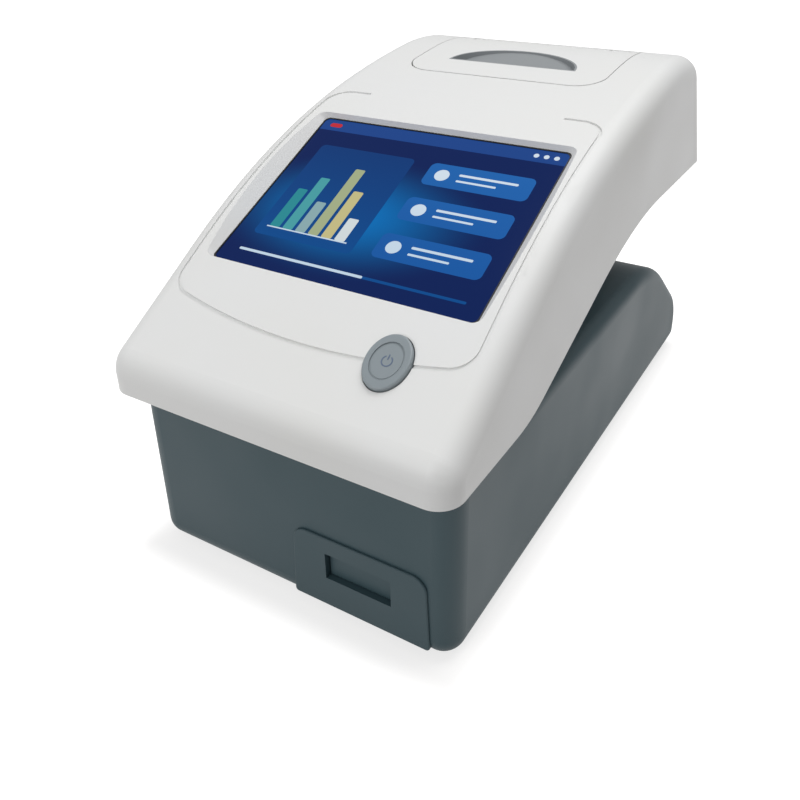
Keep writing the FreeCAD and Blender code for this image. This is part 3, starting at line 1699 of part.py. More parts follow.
def reduction_gear():
    """Large gear on the pinion axle."""
    face = small_gear(reduction_teeth, motor_deg)
    return gear(face, reduction_x, reduction_width, axle_radius, axle_y, axle_z)


def drive_pinion():
    """Pinion that drives the rack."""
    face = gear_face(drive_teeth, rack_module, gear_tip_share, gear_root_share, rack_backlash,
                     quarter_deg + 2 * quarter_deg / drive_teeth)
    return gear(face, rack_x - rack_width / 2, rack_width, axle_radius, axle_y, axle_z)


def pinion_axle():
    """Axle of the drive pinion."""
    return rod(axle_radius, vector(reduction_x, axle_y, axle_z), vector(axle_end, axle_y, axle_z))


def home_sensor_low():
    """Bottom of the home sensor."""
    return platform_low - sensor_drop


def home_sensor_y():
    """Front of the home sensor."""
    return platform_front_y + platform_length + sensor_gap


def home_sensor():
    """Forked sensor that sees the flag of the platform."""
    half = sensor_width / 2
    low = home_sensor_low()
    y = home_sensor_y()
    body = box(flag_x - half, flag_x + half, y, y + sensor_length, low, platform_low + sensor_rise)
    slot = box(flag_x - sensor_slot / 2, flag_x + sensor_slot / 2, y, y + sensor_length,
               low + sensor_base, platform_low + sensor_rise)
    return body.cut(slot)


def head_span():
    """Left and right ends of the reading head."""
    return channel_side(-1) - channel_wall, channel_side(1) + channel_wall


def read_head():
    """Housing of the reading head over the platform."""
    left, right = head_span()
    y0 = nose_y + head_back
    y1 = y0 + head_length
    top = channel_high + head_box_height
    outer = box(left, right, y0, y1, channel_high, top)
    inner = box(left + head_wall, right - head_wall, y0 + head_wall, y1 - head_wall,
                channel_high + head_wall, top + seat_gap)
    middle = (y0 + y1) / 2
    slot = box(window_x - window_slot_width / 2, window_x + window_slot_width / 2,
               middle - window_slot_length / 2, middle + window_slot_length / 2, 0, overall_length)
    ledge = box(window_x - window_slot_width / 2 - window_ledge,
                window_x + window_slot_width / 2 + window_ledge,
                middle - window_slot_length / 2 - window_ledge,
                middle + window_slot_length / 2 + window_ledge,
                channel_high + head_wall - window_glass_thickness, channel_high + 2 * head_wall)
    shapes = [outer.cut([inner, slot, ledge])]
    for x, y in head_posts():
        shapes.append(rod(post_radius, vector(x, y, channel_high + seat_gap), vector(x, y, top)))
    cuts = [rod(small_screw_radius, place - z_axis * small_screw_length, place)
            for place in head_screw_places()]
    return fuse(shapes).cut(cuts)


def head_posts():
    """Places of the posts under the sensor board."""
    left, right = head_span()
    y0 = nose_y + head_back
    return [(left + head_post_in, y0 + head_post_in),
            (right - head_post_in, y0 + head_length - head_post_in)]


def head_screw_places():
    """Screws that hold the sensor board."""
    top = channel_high + head_box_height + board_thickness
    return [vector(x, y, top) for x, y in head_posts()]


def read_head_window():
    """Glass window of the reading head."""
    middle = nose_y + head_back + head_length / 2
    half = window_slot_width / 2 + window_ledge
    reach = window_slot_length / 2 + window_ledge
    top = channel_high + head_wall
    return box(window_x - half, window_x + half, middle - reach, middle + reach,
               top - window_glass_thickness, top)


def read_head_lamps():
    """Two rows of small lamps beside the window."""
    middle = nose_y + head_back + head_length / 2
    lamps = []
    for side in (-1, 1):
        for place in range(lamp_rows):
            y = middle + lamp_pitch * (place - lamp_rows // 2)
            low = vector(window_x + side * lamp_x, y, channel_high + head_wall)
            lamps.append(rod(lamp_radius, low, low + z_axis * lamp_length))
    return Part.makeCompound(lamps)


def sensor_board():
    """Board on top of the reading head."""
    left, right = head_span()
    y0 = nose_y + head_back
    low = channel_high + head_box_height
    board = box(left, right, y0, y0 + head_length, low, low + board_thickness)
    return board.cut([rod(small_screw_radius, place - z_axis * small_screw_length, place)
                      for place in head_screw_places()])


def main_board():
    """Main board at the rear of the base."""
    half = board_width / 2
    rear = board_rear_y - port_panel_thickness
    board = box(-half, half, rear - board_length, rear, board_z, board_z + board_thickness)
    return board.cut([rod(small_screw_radius, vector(x, y, board_z), vector(x, y, board_z + board_thickness))
                      for x, y in board_posts()])


def board_front_y():
    """Front edge of the main board."""
    return board_rear_y - port_panel_thickness - board_length


def board_chips():
    """Chips on the main board, and the light sensor under the sensor board."""
    chips = []
    for x, up, size in board_chip_places:
        y = board_front_y() + up
        chips.append(box(x - size / 2, x + size / 2, y - size / 2, y + size / 2, port_base_z(),
                         port_base_z() + chip_height))
    y = nose_y + head_back + head_length / 2
    top = channel_high + head_box_height
    chips.append(box(window_x - sensor_chip / 2, window_x + sensor_chip / 2, y - sensor_chip / 2,
                     y + sensor_chip / 2, top - sensor_chip_height, top))
    return Part.makeCompound(chips)


def backup_cell():
    """Round cell that keeps the clock running."""
    x, up = cell_place
    low = vector(x, board_front_y() + up, port_base_z())
    return rod(cell_radius, low, low + z_axis * cell_thickness)


def buzzer():
    """Buzzer with a sound hole."""
    x, up = buzzer_place
    low = vector(x, board_front_y() + up, port_base_z())
    body = rod(buzzer_radius, low, low + z_axis * buzzer_height)
    return body.cut(rod(buzzer_hole_radius, low + z_axis * (buzzer_height / 2), low + z_axis * buzzer_height))


def power_inlet():
    """Socket for the mains adapter, with its centre pin."""
    half = inlet_width / 2
    low = port_base_z()
    rear = port_panel_y + port_proud
    z = low + inlet_height / 2
    body = box(inlet_x - half, inlet_x + half, rear - inlet_length, rear, low, low + inlet_height)
    mouth = vector(inlet_x, rear, z)
    bore = rod(inlet_bore_radius, mouth - y_axis * inlet_bore_depth, mouth)
    pin = rod(inlet_pin_radius, mouth - y_axis * (inlet_bore_depth + seat_gap), mouth - y_axis * port_proud)
    return body.cut(bore).fuse(pin)


def serial_outline(inset, y):
    """Wire of the D-shaped shell, wide side up."""
    half = serial_shell_width / 2 - inset
    tall = serial_shell_height / 2 - inset
    z = serial_middle_z()
    low = half - serial_shell_draft
    points = [vector(serial_x - half, y, z + tall), vector(serial_x + half, y, z + tall),
              vector(serial_x + low, y, z - tall), vector(serial_x - low, y, z - tall)]
    return Part.Face(Part.makePolygon(points + points[:1]))


def serial_port():
    """Nine-pin serial socket: body, flange, shell and pins."""
    front = port_panel_y - port_panel_thickness
    half = serial_flange_width / 2
    low = port_base_z()
    flange = box(serial_x - half, serial_x + half, front - serial_flange_thickness, front, low,
                 low + serial_flange_height)
    core = serial_shell_width / 2
    back = front - serial_flange_thickness
    body = box(serial_x - core, serial_x + core, back - serial_body_length, back, low,
               low + serial_flange_height)
    reach = serial_shell_proud + port_panel_thickness
    shell = serial_outline(0, front).extrude(y_axis * reach)
    shell = shell.cut(serial_outline(serial_shell_wall, front).extrude(y_axis * (2 * reach)))
    pins = []
    for row, count in enumerate(serial_pin_rows):
        for pin in range(count):
            x = serial_x + serial_pin_pitch * (pin - (count - 1) / 2)
            z = serial_middle_z() + serial_pin_pitch * (0.5 - row)
            start = vector(x, front - seat_gap, z)
            pins.append(rod(serial_pin_radius, start, start + y_axis * (reach - serial_shell_wall)))
    whole = flange.multiFuse([body, shell] + pins)
    cuts = [rod(jackscrew_hole_radius, place - y_axis * serial_flange_thickness * 2, place + y_axis)
            for place in jackscrew_places()]
    return whole.cut(cuts).removeSplitter()


def jackscrew_places():
    """Places of the two nuts beside the serial socket, on its flange."""
    front = port_panel_y - port_panel_thickness
    return [vector(serial_x + side * jackscrew_spacing / 2, front, serial_middle_z()) for side in (-1, 1)]


def jackscrews():
    """Two hexagonal nuts that hold the plug of the serial socket."""
    nuts = []
    for place in jackscrew_places():
        points = []
        for corner in range(jackscrew_sides + 1):
            angle = 2 * math.pi * corner / jackscrew_sides
            points.append(place + vector(jackscrew_radius * math.cos(angle), 0,
                                         jackscrew_radius * math.sin(angle)))
        length = port_panel_thickness + jackscrew_proud
        nut = Part.Face(Part.makePolygon(points)).extrude(y_axis * length)
        end = place + y_axis * length
        nut = nut.cut(rod(jackscrew_hole_radius, end - y_axis * jackscrew_hole_depth, end))
        stud = rod(jackscrew_hole_radius, place - y_axis * serial_flange_thickness, place)
        nuts.append(fuse([nut, stud]))
    return Part.makeCompound(nuts)


def usb_sockets():
    """Two data sockets in metal shells."""
    rear = port_panel_y + port_proud
    sockets = []
    for x, width, height, tongue, thick in zip(usb_x, usb_width, usb_height, usb_tongue_width,
                                               usb_tongue_height):
        low = port_base_z()
        z = low + height / 2
        shell = box(x - width / 2, x + width / 2, rear - usb_length, rear, low, low + height)
        mouth = box(x - width / 2 + usb_wall, x + width / 2 - usb_wall, rear - usb_mouth_depth, rear,
                    low + usb_wall, low + height - usb_wall)
        blade = box(x - tongue / 2, x + tongue / 2, rear - usb_mouth_depth - seat_gap, rear - port_proud,
                    z - thick / 2, z + thick / 2)
        sockets.append(shell.cut(mouth).fuse(blade))
    return Part.makeCompound(sockets)


def case_screws():
    """Screws of the case."""
    places = front_post_places() + neck_post_places() + cover_post_places() + base_post_places()
    return Part.makeCompound([case_screw(place) for place in places])


def small_screws():
    """Small screws of the boards, the display, the printer, the drive and the port panel."""
    down = z_axis * -1
    screws = [small_screw(place, y_axis) for place in frame_screw_places() + port_post_places()]
    screws += [small_screw(place, down)
               for place in bay_screw_places() + head_screw_places()]
    screws += [screw(place, down, transport_screw_length, small_screw_radius, small_head_radius,
                     small_head_height) for place in transport_screw_places()]
    screws += [screw(place, x_axis, motor_screw_length, small_screw_radius, small_head_radius,
                     small_head_height) for place in drive_screw_places()]
    top = board_z + board_thickness
    screws += [small_screw(vector(x, y, top), down) for x, y in board_posts()]
    low = -button_stack() - board_thickness
    screws += [on_button(small_screw(vector(x, 0, low), z_axis)) for x in (-button_post_x, button_post_x)]
    low = -glass_thickness - module_thickness - bracket_thickness
    for x in (-display_post_x, display_post_x):
        for up in display_post_ends:
            screws.append(on_screen(small_screw(vector(x, up, low), z_axis)))
    return Part.makeCompound(screws)


PARTS = {
    "upper_housing": upper_housing,
    "under_cover": under_cover,
    "display_gasket": display_gasket,
    "touch_glass": touch_glass,
    "display_module": display_module,
    "display_bracket": display_bracket,
    "power_button": power_button,
    "button_switch": button_switch,
    "switch_plunger": switch_plunger,
    "button_board": button_board,
    "printer_door": printer_door,
    "finger_recess": finger_recess,
    "door_hinge_pin": door_hinge_pin,
    "paper_bay": paper_bay,
    "paper_roll": paper_roll,
    "paper_core": paper_core,
    "paper_spindle": paper_spindle,
    "printer_frame": printer_frame,
    "platen_roller": platen_roller,
    "platen_shaft": platen_shaft,
    "platen_gear": platen_gear,
    "idler_gear": idler_gear,
    "printer_motor": printer_motor,
    "printer_pinion": printer_pinion,
    "print_head": print_head,
    "head_heat_sink": head_heat_sink,
    "tear_bar": tear_bar,
    "base_housing": base_housing,
    "bottom_cover": bottom_cover,
    "rubber_feet": rubber_feet,
    "tray_panel": tray_panel,
    "rear_panel": rear_panel,
    "strip_platform": strip_platform,
    "strip_insert": strip_insert,
    "reference_pad": reference_pad,
    "platform_rack": platform_rack,
    "transport_frame": transport_frame,
    "guide_rails": guide_rails,
    "drive_motor": drive_motor,
    "motor_pinion": motor_pinion,
    "reduction_gear": reduction_gear,
    "drive_pinion": drive_pinion,
    "pinion_axle": pinion_axle,
    "home_sensor": home_sensor,
    "read_head": read_head,
    "read_head_window": read_head_window,
    "read_head_lamps": read_head_lamps,
    "sensor_board": sensor_board,
    "main_board": main_board,
    "board_chips": board_chips,
    "backup_cell": backup_cell,
    "buzzer": buzzer,
    "power_inlet": power_inlet,
    "serial_port": serial_port,
    "jackscrews": jackscrews,
    "usb_sockets": usb_sockets,
    "case_screws": case_screws,
    "small_screws": small_screws,
}


def main():
    """Build every piece and write it out."""
    os.makedirs("parts", exist_ok=True)
    for name, make in PARTS.items():
        make().exportStep(f"parts/{name}.step")


main()
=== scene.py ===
# %% [markdown]
# # A bench-top urine analyzer for a studio picture
# The instrument is two moulded shells: a white arched housing that leans over a grey base. A
# touch screen is let into the slope, a round key sits below it, and a strip platform slides out
# of the base. The construction model already has every shell, gear and screw in its place, so it
# is loaded first as a fixed frame. The looks are then built round it, in metres, where the
# construction model says.

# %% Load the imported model
import json
import math

import bpy
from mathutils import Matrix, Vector


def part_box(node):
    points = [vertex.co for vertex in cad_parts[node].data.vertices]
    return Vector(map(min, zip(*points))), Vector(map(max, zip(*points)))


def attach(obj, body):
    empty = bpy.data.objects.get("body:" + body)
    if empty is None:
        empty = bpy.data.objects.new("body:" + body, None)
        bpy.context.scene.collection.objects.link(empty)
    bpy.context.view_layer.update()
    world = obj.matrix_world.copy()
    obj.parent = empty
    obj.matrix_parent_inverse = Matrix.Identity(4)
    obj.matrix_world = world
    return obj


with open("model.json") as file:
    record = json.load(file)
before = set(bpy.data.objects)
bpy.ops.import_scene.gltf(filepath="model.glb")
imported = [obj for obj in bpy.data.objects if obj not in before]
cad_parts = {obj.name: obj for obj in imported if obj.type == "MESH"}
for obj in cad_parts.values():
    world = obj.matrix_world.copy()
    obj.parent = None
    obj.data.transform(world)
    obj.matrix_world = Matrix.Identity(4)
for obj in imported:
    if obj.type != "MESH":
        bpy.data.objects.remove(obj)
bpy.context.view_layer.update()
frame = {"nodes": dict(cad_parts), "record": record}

mm = 0.001
record = frame["record"]

# %% [markdown]
# ## Colours and shader nodes
# A colour is picked as an sRGB hex value, because that is how a paint chart or a screen gives it.
# Cycles counts in linear light, so one function turns the one into the other. Shader trees are
# drawn by one more small function: it adds a node, sets its values and plugs its inputs.

# %% Colour and node helpers


def linear(code, alpha=1.0):
    """Linear colour of an sRGB hex value."""
    parts = [int(code[i:i + 2], 16) / 255 for i in (1, 3, 5)]
    return [c / 12.92 if c <= 0.04045 else ((c + 0.055) / 1.055) ** 2.4 for c in parts] + [alpha]


def add(tree, kind, links=None, **settings):
    """Adds a shader node: settings are its options, links its inputs by name or number."""
    node = tree.nodes.new(kind)
    for key, value in settings.items():
        setattr(node, key, value)
    for key, value in (links or {}).items():
        if isinstance(value, bpy.types.NodeSocket):
            tree.links.new(value, node.inputs[key])
        else:
            node.inputs[key].default_value = value
    return node


def blank_material(name):
    """A material with an empty tree, its surface shader and its output."""
    material = bpy.data.materials.new(name)
    material.use_nodes = True
    tree = material.node_tree
    tree.nodes.clear()
    shader = add(tree, "ShaderNodeBsdfPrincipled")
    add(tree, "ShaderNodeOutputMaterial", {"Surface": shader.outputs["BSDF"]})
    return material, tree, shader


# %% [markdown]
# ## Moulded plastic
# Both shells are ABS, injection moulded in a spark-eroded tool. The tool leaves a fine grain of
# about a third of a millimetre: it scatters the highlights, so the shell looks satin and not
# glossy. A bump from a noise of that size gives the grain, and a second noise of a hand's width
# changes the roughness a little, as hands and wiping do. The same recipe serves every moulded
# piece, with its own colour, grain and sheen.

# %% Moulded plastics


def moulded(name, code, grain_mm=0.35, depth_mm=0.012, rough=0.46, tint="#FFFFFF", spread=0.05,
            specular=0.5):
    """ABS or a like plastic from a textured tool."""
    material, tree, shader = blank_material(name)
    place = add(tree, "ShaderNodeTexCoord").outputs["Object"]
    grain = add(tree, "ShaderNodeTexNoise", {"Vector": place, "Scale": 1 / (2 * grain_mm * mm),
                                             "Detail": 3.0, "Roughness": 0.55})
    broad = add(tree, "ShaderNodeTexNoise", {"Vector": place, "Scale": 1 / (60 * mm),
                                             "Detail": 2.0})
    bump = add(tree, "ShaderNodeBump", {"Height": grain.outputs["Fac"], "Strength": 1.0,
                                        "Distance": depth_mm * mm})
    sheen = add(tree, "ShaderNodeMapRange", {"Value": broad.outputs["Fac"], "From Min": 0.3,
                                             "From Max": 0.7, "To Min": rough - spread,
                                             "To Max": rough + spread})
    shade = add(tree, "ShaderNodeMix", {"Factor": broad.outputs["Fac"], "A": linear(code),
                                        "B": [a * b for a, b in zip(linear(code), linear(tint))]},
                data_type="RGBA")
    tree.links.new(shade.outputs["Result"], shader.inputs["Base Color"])
    tree.links.new(sheen.outputs["Result"], shader.inputs["Roughness"])
    tree.links.new(bump.outputs["Normal"], shader.inputs["Normal"])
    shader.inputs["IOR"].default_value = 1.53
    shader.inputs["Specular IOR Level"].default_value = specular
    return material


white_abs = moulded("white_abs_spark_texture", "#E2E3E4", tint="#FBFAF6")
grey_abs = moulded("blue_grey_abs_spark_texture", "#33474E", grain_mm=0.4, rough=0.5,
                   tint="#F2F8F6", specular=0.35)
key_abs = moulded("grey_abs_key_cap", "#889196", grain_mm=0.25, depth_mm=0.006, rough=0.38)
recess_abs = moulded("grey_abs_finger_recess", "#8B8F92", grain_mm=0.3, rough=0.45)
black_abs = moulded("black_abs_inner_frame", "#26282A", grain_mm=0.5, rough=0.55)
pale_abs = moulded("pale_grey_abs_strip_insert", "#C9CDCE", grain_mm=0.2, depth_mm=0.004, rough=0.4)
acetal = moulded("natural_acetal_gears", "#E6E4DA", grain_mm=0.2, depth_mm=0.003, rough=0.33)
black_nylon = moulded("black_nylon_parts", "#17181A", grain_mm=0.3, rough=0.5)
lamp_body = moulded("clear_epoxy_lamp_body", "#E9EEDD", grain_mm=0.6, depth_mm=0.002, rough=0.12)
matt_black = moulded("matt_black_optics_box", "#0D0D0E", grain_mm=0.45, depth_mm=0.02, rough=0.8)

# %% [markdown]
# ## Metals, rubber, paper and boards
# Zinc-coated sheet shows faint drawn lines along its rolling direction, turned steel shows rings,
# and a motor can is plain plated sheet. Rubber is matt with a soft grain. Thermal paper is
# smooth and slightly blue-white, and its edge shows the turns as fine lines. A circuit board is
# glass fibre under green solder mask, which is glossy and shows copper tracks as slightly
# lighter lines.

# %% Metals


def metal(name, code, rough, line_mm=0.25, stretch=(1, 30, 30), depth_mm=0.003):
    """Metal with fine lines drawn along one direction."""
    material, tree, shader = blank_material(name)
    place = add(tree, "ShaderNodeTexCoord").outputs["Object"]
    along = add(tree, "ShaderNodeMapping", {"Vector": place, "Scale": stretch})
    lines = add(tree, "ShaderNodeTexNoise", {"Vector": along.outputs["Vector"],
                                             "Scale": 1 / (30 * line_mm * mm), "Detail": 3.0})
    bump = add(tree, "ShaderNodeBump", {"Height": lines.outputs["Fac"], "Distance": depth_mm * mm})
    spread = add(tree, "ShaderNodeMapRange", {"Value": lines.outputs["Fac"], "From Min": 0.3,
                                              "From Max": 0.7, "To Min": rough - 0.06,
                                              "To Max": rough + 0.06})
    tree.links.new(spread.outputs["Result"], shader.inputs["Roughness"])
    tree.links.new(bump.outputs["Normal"], shader.inputs["Normal"])
    shader.inputs["Base Color"].default_value = linear(code)
    shader.inputs["Metallic"].default_value = 1.0
    return material


zinc_sheet = metal("zinc_coated_sheet", "#B9BCBE", 0.36)
turned_steel = metal("turned_steel", "#C4C5C6", 0.24, line_mm=0.1)
motor_can = metal("plated_motor_can", "#A6A8AA", 0.3, stretch=(30, 1, 1))
extruded_aluminium = metal("extruded_aluminium", "#C8CACC", 0.32)
nickel_shell = metal("nickel_plated_shell", "#CCCCC9", 0.2)
turned_brass = metal("turned_brass", "#C9A55F", 0.28, line_mm=0.1)

# %% Rubber, paper, card, ceramic
black_rubber = moulded("black_nitrile_rubber", "#1B1C1D", grain_mm=0.5, depth_mm=0.02, rough=0.72)
card = moulded("brown_wound_card", "#A98B62", grain_mm=0.6, depth_mm=0.03, rough=0.85)
glazed_ceramic = moulded("glazed_ceramic_head", "#CFC9BA", grain_mm=0.8, depth_mm=0.001, rough=0.14)


def thermal_paper():
    """Coated paper wound in a roll: its flat ends show the turns as rings."""
    material, tree, shader = blank_material("white_thermal_paper")
    lo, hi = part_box("paper_roll")
    middle = (Vector(lo) + Vector(hi)) / 2
    place = add(tree, "ShaderNodeTexCoord").outputs["Object"]
    centred = add(tree, "ShaderNodeMapping", {"Vector": place, "Location": -middle})
    # A turn is 0.06 mm thick, too fine to show, so the rings are drawn coarser.
    ring_mm = 0.7
    rings = add(tree, "ShaderNodeTexWave", {"Vector": centred.outputs["Vector"],
                                            "Scale": 1 / (ring_mm * mm * math.pi),
                                            "Distortion": 0.6, "Detail": 1.0},
                wave_type="RINGS", rings_direction="X")
    bump = add(tree, "ShaderNodeBump", {"Height": rings.outputs["Fac"], "Distance": 0.02 * mm,
                                        "Strength": 0.6})
    tree.links.new(bump.outputs["Normal"], shader.inputs["Normal"])
    shader.inputs["Base Color"].default_value = linear("#EFF0F0")
    shader.inputs["Roughness"].default_value = 0.55
    shader.inputs["IOR"].default_value = 1.45
    return material


paper = thermal_paper()

# %% Circuit boards


def circuit_board(name, code, track_code, pitch_mm=2.5):
    """Green solder mask over copper: tracks show as lighter straight lines."""
    material, tree, shader = blank_material(name)
    place = add(tree, "ShaderNodeTexCoord").outputs["Object"]
    cells = add(tree, "ShaderNodeTexVoronoi", {"Vector": place, "Scale": 1 / (pitch_mm * mm),
                                               "Randomness": 0.55},
                distance="MANHATTAN", feature="F1")
    track = add(tree, "ShaderNodeMapRange", {"Value": cells.outputs["Distance"], "From Min": 0.42,
                                             "From Max": 0.5})
    shade = add(tree, "ShaderNodeMix", {"Factor": track.outputs["Result"], "A": linear(code),
                                        "B": linear(track_code)}, data_type="RGBA")
    bump = add(tree, "ShaderNodeBump", {"Height": track.outputs["Result"], "Distance": 0.03 * mm})
    tree.links.new(shade.outputs["Result"], shader.inputs["Base Color"])
    tree.links.new(bump.outputs["Normal"], shader.inputs["Normal"])
    shader.inputs["Roughness"].default_value = 0.28
    shader.inputs["IOR"].default_value = 1.5
    return material


board = circuit_board("green_solder_mask_board", "#14542F", "#2E7A48")
chip_resin = moulded("black_moulded_resin_chips", "#1D1E20", grain_mm=0.25, depth_mm=0.01,
                     rough=0.62)

# %% [markdown]
# ## Clear pieces
# The window of the reading head is a clear sheet, so it gets transmission and the index of
# glass. It is the only piece that light passes through.

# %% Clear window
clear_sheet, tree, shader = blank_material("clear_glass_window")
place = add(tree, "ShaderNodeTexCoord").outputs["Object"]
smear = add(tree, "ShaderNodeTexNoise", {"Vector": place, "Scale": 1 / (9 * mm)})
haze = add(tree, "ShaderNodeMapRange", {"Value": smear.outputs["Fac"], "To Min": 0.02,
                                        "To Max": 0.1})
tree.links.new(haze.outputs["Result"], shader.inputs["Roughness"])
shader.inputs["Base Color"].default_value = linear("#EEF6F5")
shader.inputs["Transmission Weight"].default_value = 1.0
shader.inputs["IOR"].default_value = 1.5

# %% [markdown]
# ## Which finish goes on which piece
# Each construction piece names a material slot in the record. A table from slot to finish dresses
# them all at once.

# %% Dress the construction pieces
finish_of_slot = {
    "white_housing": white_abs, "grey_base": grey_abs, "grey_platform": grey_abs,
    "screen_glass": black_nylon, "display_case": extruded_aluminium, "sheet_steel": zinc_sheet,
    "button_grey": key_abs, "recess_grey": recess_abs, "switch_black": black_nylon,
    "board_green": board, "chip_black": chip_resin, "steel": turned_steel, "paper": paper,
    "core_card": card, "frame_black": black_abs, "roller_rubber": black_rubber,
    "gear_white": acetal, "motor_steel": motor_can, "head_ceramic": glazed_ceramic,
    "sink_aluminium": extruded_aluminium, "foot_rubber": black_rubber, "insert_grey": pale_abs,
    "pad_white": acetal, "rail_white": acetal, "head_black": matt_black,
    "clear_window": clear_sheet, "lamp_clear": lamp_body, "cell_steel": nickel_shell,
    "port_black": black_nylon, "port_steel": nickel_shell, "screw_steel": zinc_sheet,
    "brass": turned_brass,
}
slot_of = {part["node"]: part["material_slot"] for part in record["subparts"]}
for name, piece in frame["nodes"].items():
    for place in piece.material_slots:
        place.material = finish_of_slot[slot_of[name]]
print(len(frame["nodes"]), "construction pieces dressed")

# %% [markdown]
# ## Flat pieces on a sloping face
# The screen and the round key lie on slopes, and the base screws face straight down, which is a
# slope of 180 degrees. A small class gives a point on such a slope: across, up the slope, and out
# of it. A plate starts as a plane or a circle laid on the slope. Its corners are rounded and it
# is extruded by a fraction of a millimetre.

# %% Points and plates on a slope


class Slope:
    """A plane through a point that rises to the back at an angle."""

    def __init__(self, origin, tilt_deg):
        self.origin = Vector(origin)
        self.tilt = math.radians(tilt_deg)
        self.across = Vector((1, 0, 0))
        self.up = Vector((0, math.cos(self.tilt), math.sin(self.tilt)))
        self.out = self.across.cross(self.up)

    def at(self, u, v, n=0.0):
        """World point in metres for millimetres across, up and out of the slope."""
        return self.origin + (self.across * u + self.up * v + self.out * n) * mm


def raise_face(piece, slope, height, material):
    """Fixes the place in the mesh, extrudes the flat face outwards and gives it its finish."""
    bpy.ops.object.transform_apply(location=True, rotation=True, scale=True)
    bpy.ops.object.mode_set(mode="EDIT")
    bpy.ops.mesh.select_all(action="SELECT")
    bpy.ops.mesh.extrude_region_move(TRANSFORM_OT_translate={"value": slope.out * height * mm})
    bpy.ops.mesh.select_all(action="SELECT")
    bpy.ops.mesh.normals_make_consistent(inside=False)
    bpy.ops.object.mode_set(mode="OBJECT")
    piece.data.materials.append(material)
    return piece


def plate(slope, low_corner, high_corner, radius, low, height, material):
    """A thin plate with rounded corners between two corner points in mm."""
    (u0, v0), (u1, v1) = low_corner, high_corner
    bpy.ops.object.select_all(action="DESELECT")
    bpy.ops.mesh.primitive_plane_add(size=mm, location=slope.at((u0 + u1) / 2, (v0 + v1) / 2, low),
                                     rotation=(slope.tilt, 0, 0))
    piece = bpy.context.active_object
    piece.scale = (u1 - u0, v1 - v0, 1)
    bpy.ops.object.transform_apply(location=False, rotation=False, scale=True)
    if radius:
        bpy.ops.object.mode_set(mode="EDIT")
        bpy.ops.mesh.select_all(action="SELECT")
        bpy.ops.mesh.bevel(offset=radius * mm, segments=6, affect="VERTICES", clamp_overlap=False)
        bpy.ops.object.mode_set(mode="OBJECT")
    return raise_face(piece, slope, height, material)


def disc(slope, u, v, radius, low, height, material):
    """A thin round plate."""
    bpy.ops.object.select_all(action="DESELECT")
    bpy.ops.mesh.primitive_circle_add(vertices=40, radius=radius * mm, fill_type="NGON",
                                      location=slope.at(u, v, low), rotation=(slope.tilt, 0, 0))
    return raise_face(bpy.context.active_object, slope, height, material)


def joined(name, pieces, body):
    """Joins pieces to one object that rides on a body."""
    bpy.ops.object.select_all(action="DESELECT")
    for piece in pieces:
        piece.select_set(True)
    bpy.context.view_layer.objects.active = pieces[0]
    bpy.ops.object.join()
    whole = bpy.context.active_object
    whole.name = name
    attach(whole, body)
    print(name, "has", len(whole.data.polygons), "faces from", len(pieces), "pieces")
    return whole


# %% [markdown]
# ## The screen's picture
# The picture is a generic one: a dark blue ground with a bright glow, a card with six coloured
# bars like the pads of a test strip, three plain keys and a progress line. It has no lettering.
# Every part of it gives its own light, as a display does, and keeps a thin gloss of glass.

# %% Lit finishes
screen_tilt = 25.8
glass_half_thick = 0.9
low_corner, high_corner = (Vector(corner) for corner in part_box("touch_glass"))
glass = Slope((low_corner + high_corner) / 2, screen_tilt)
glass.origin = glass.at(0, 0, glass_half_thick)
fade_start, fade_length = -44, 88.0


def lit(name, low_code, high_code, power=0.9, centre=None, reach=(1, 1)):
    """Display colour that fades up the screen, or out from a centre."""
    material, tree, shader = blank_material(name)
    place = add(tree, "ShaderNodeTexCoord").outputs["Object"]
    start = glass.at(*(centre or (0, fade_start)))
    local = add(tree, "ShaderNodeVectorMath", {0: place, 1: start},
                operation="SUBTRACT").outputs["Vector"]
    across = add(tree, "ShaderNodeVectorMath", {0: local, 1: glass.across / (reach[0] * mm)},
                 operation="DOT_PRODUCT").outputs["Value"]
    upward = add(tree, "ShaderNodeVectorMath", {0: local, 1: glass.up / (reach[1] * mm)},
                 operation="DOT_PRODUCT").outputs["Value"]
    if centre:
        both = add(tree, "ShaderNodeCombineXYZ", {"X": across, "Y": upward}).outputs["Vector"]
        away = add(tree, "ShaderNodeVectorMath", {0: both}, operation="LENGTH").outputs["Value"]
    else:
        away = upward
    fade = add(tree, "ShaderNodeMapRange",
               {"Value": away, "From Max": 1.0 if centre else fade_length},
               interpolation_type="SMOOTHSTEP")
    shade = add(tree, "ShaderNodeMix", {"Factor": fade.outputs["Result"], "A": linear(low_code),
                                        "B": linear(high_code)}, data_type="RGBA")
    tree.links.new(shade.outputs["Result"], shader.inputs["Emission Color"])
    shader.inputs["Emission Strength"].default_value = power
    shader.inputs["Base Color"].default_value = linear("#05070C")
    shader.inputs["Roughness"].default_value = 0.14
    shader.inputs["Specular IOR Level"].default_value = 0.05
    return material


# %% Screen picture
ground = lit("display_blue_ground", "#0A76C2", "#0F245B", centre=(-16, -8), reach=(62, 34))
bar_blue = lit("display_top_bar", "#1C3C80", "#21488F")
card_blue = lit("display_card", "#0F4F93", "#123A78")
key_blue = lit("display_keys", "#1A5AA6", "#2468B4")
pale = lit("display_pale_lines", "#C9DDEE", "#DCE9F5")
red = lit("display_red_mark", "#B4232C", "#C8303A")
bar_codes = ("#2F8F98", "#4CA3A8", "#8FB0B4", "#A9B48C", "#CBC28A", "#D9E2E4")

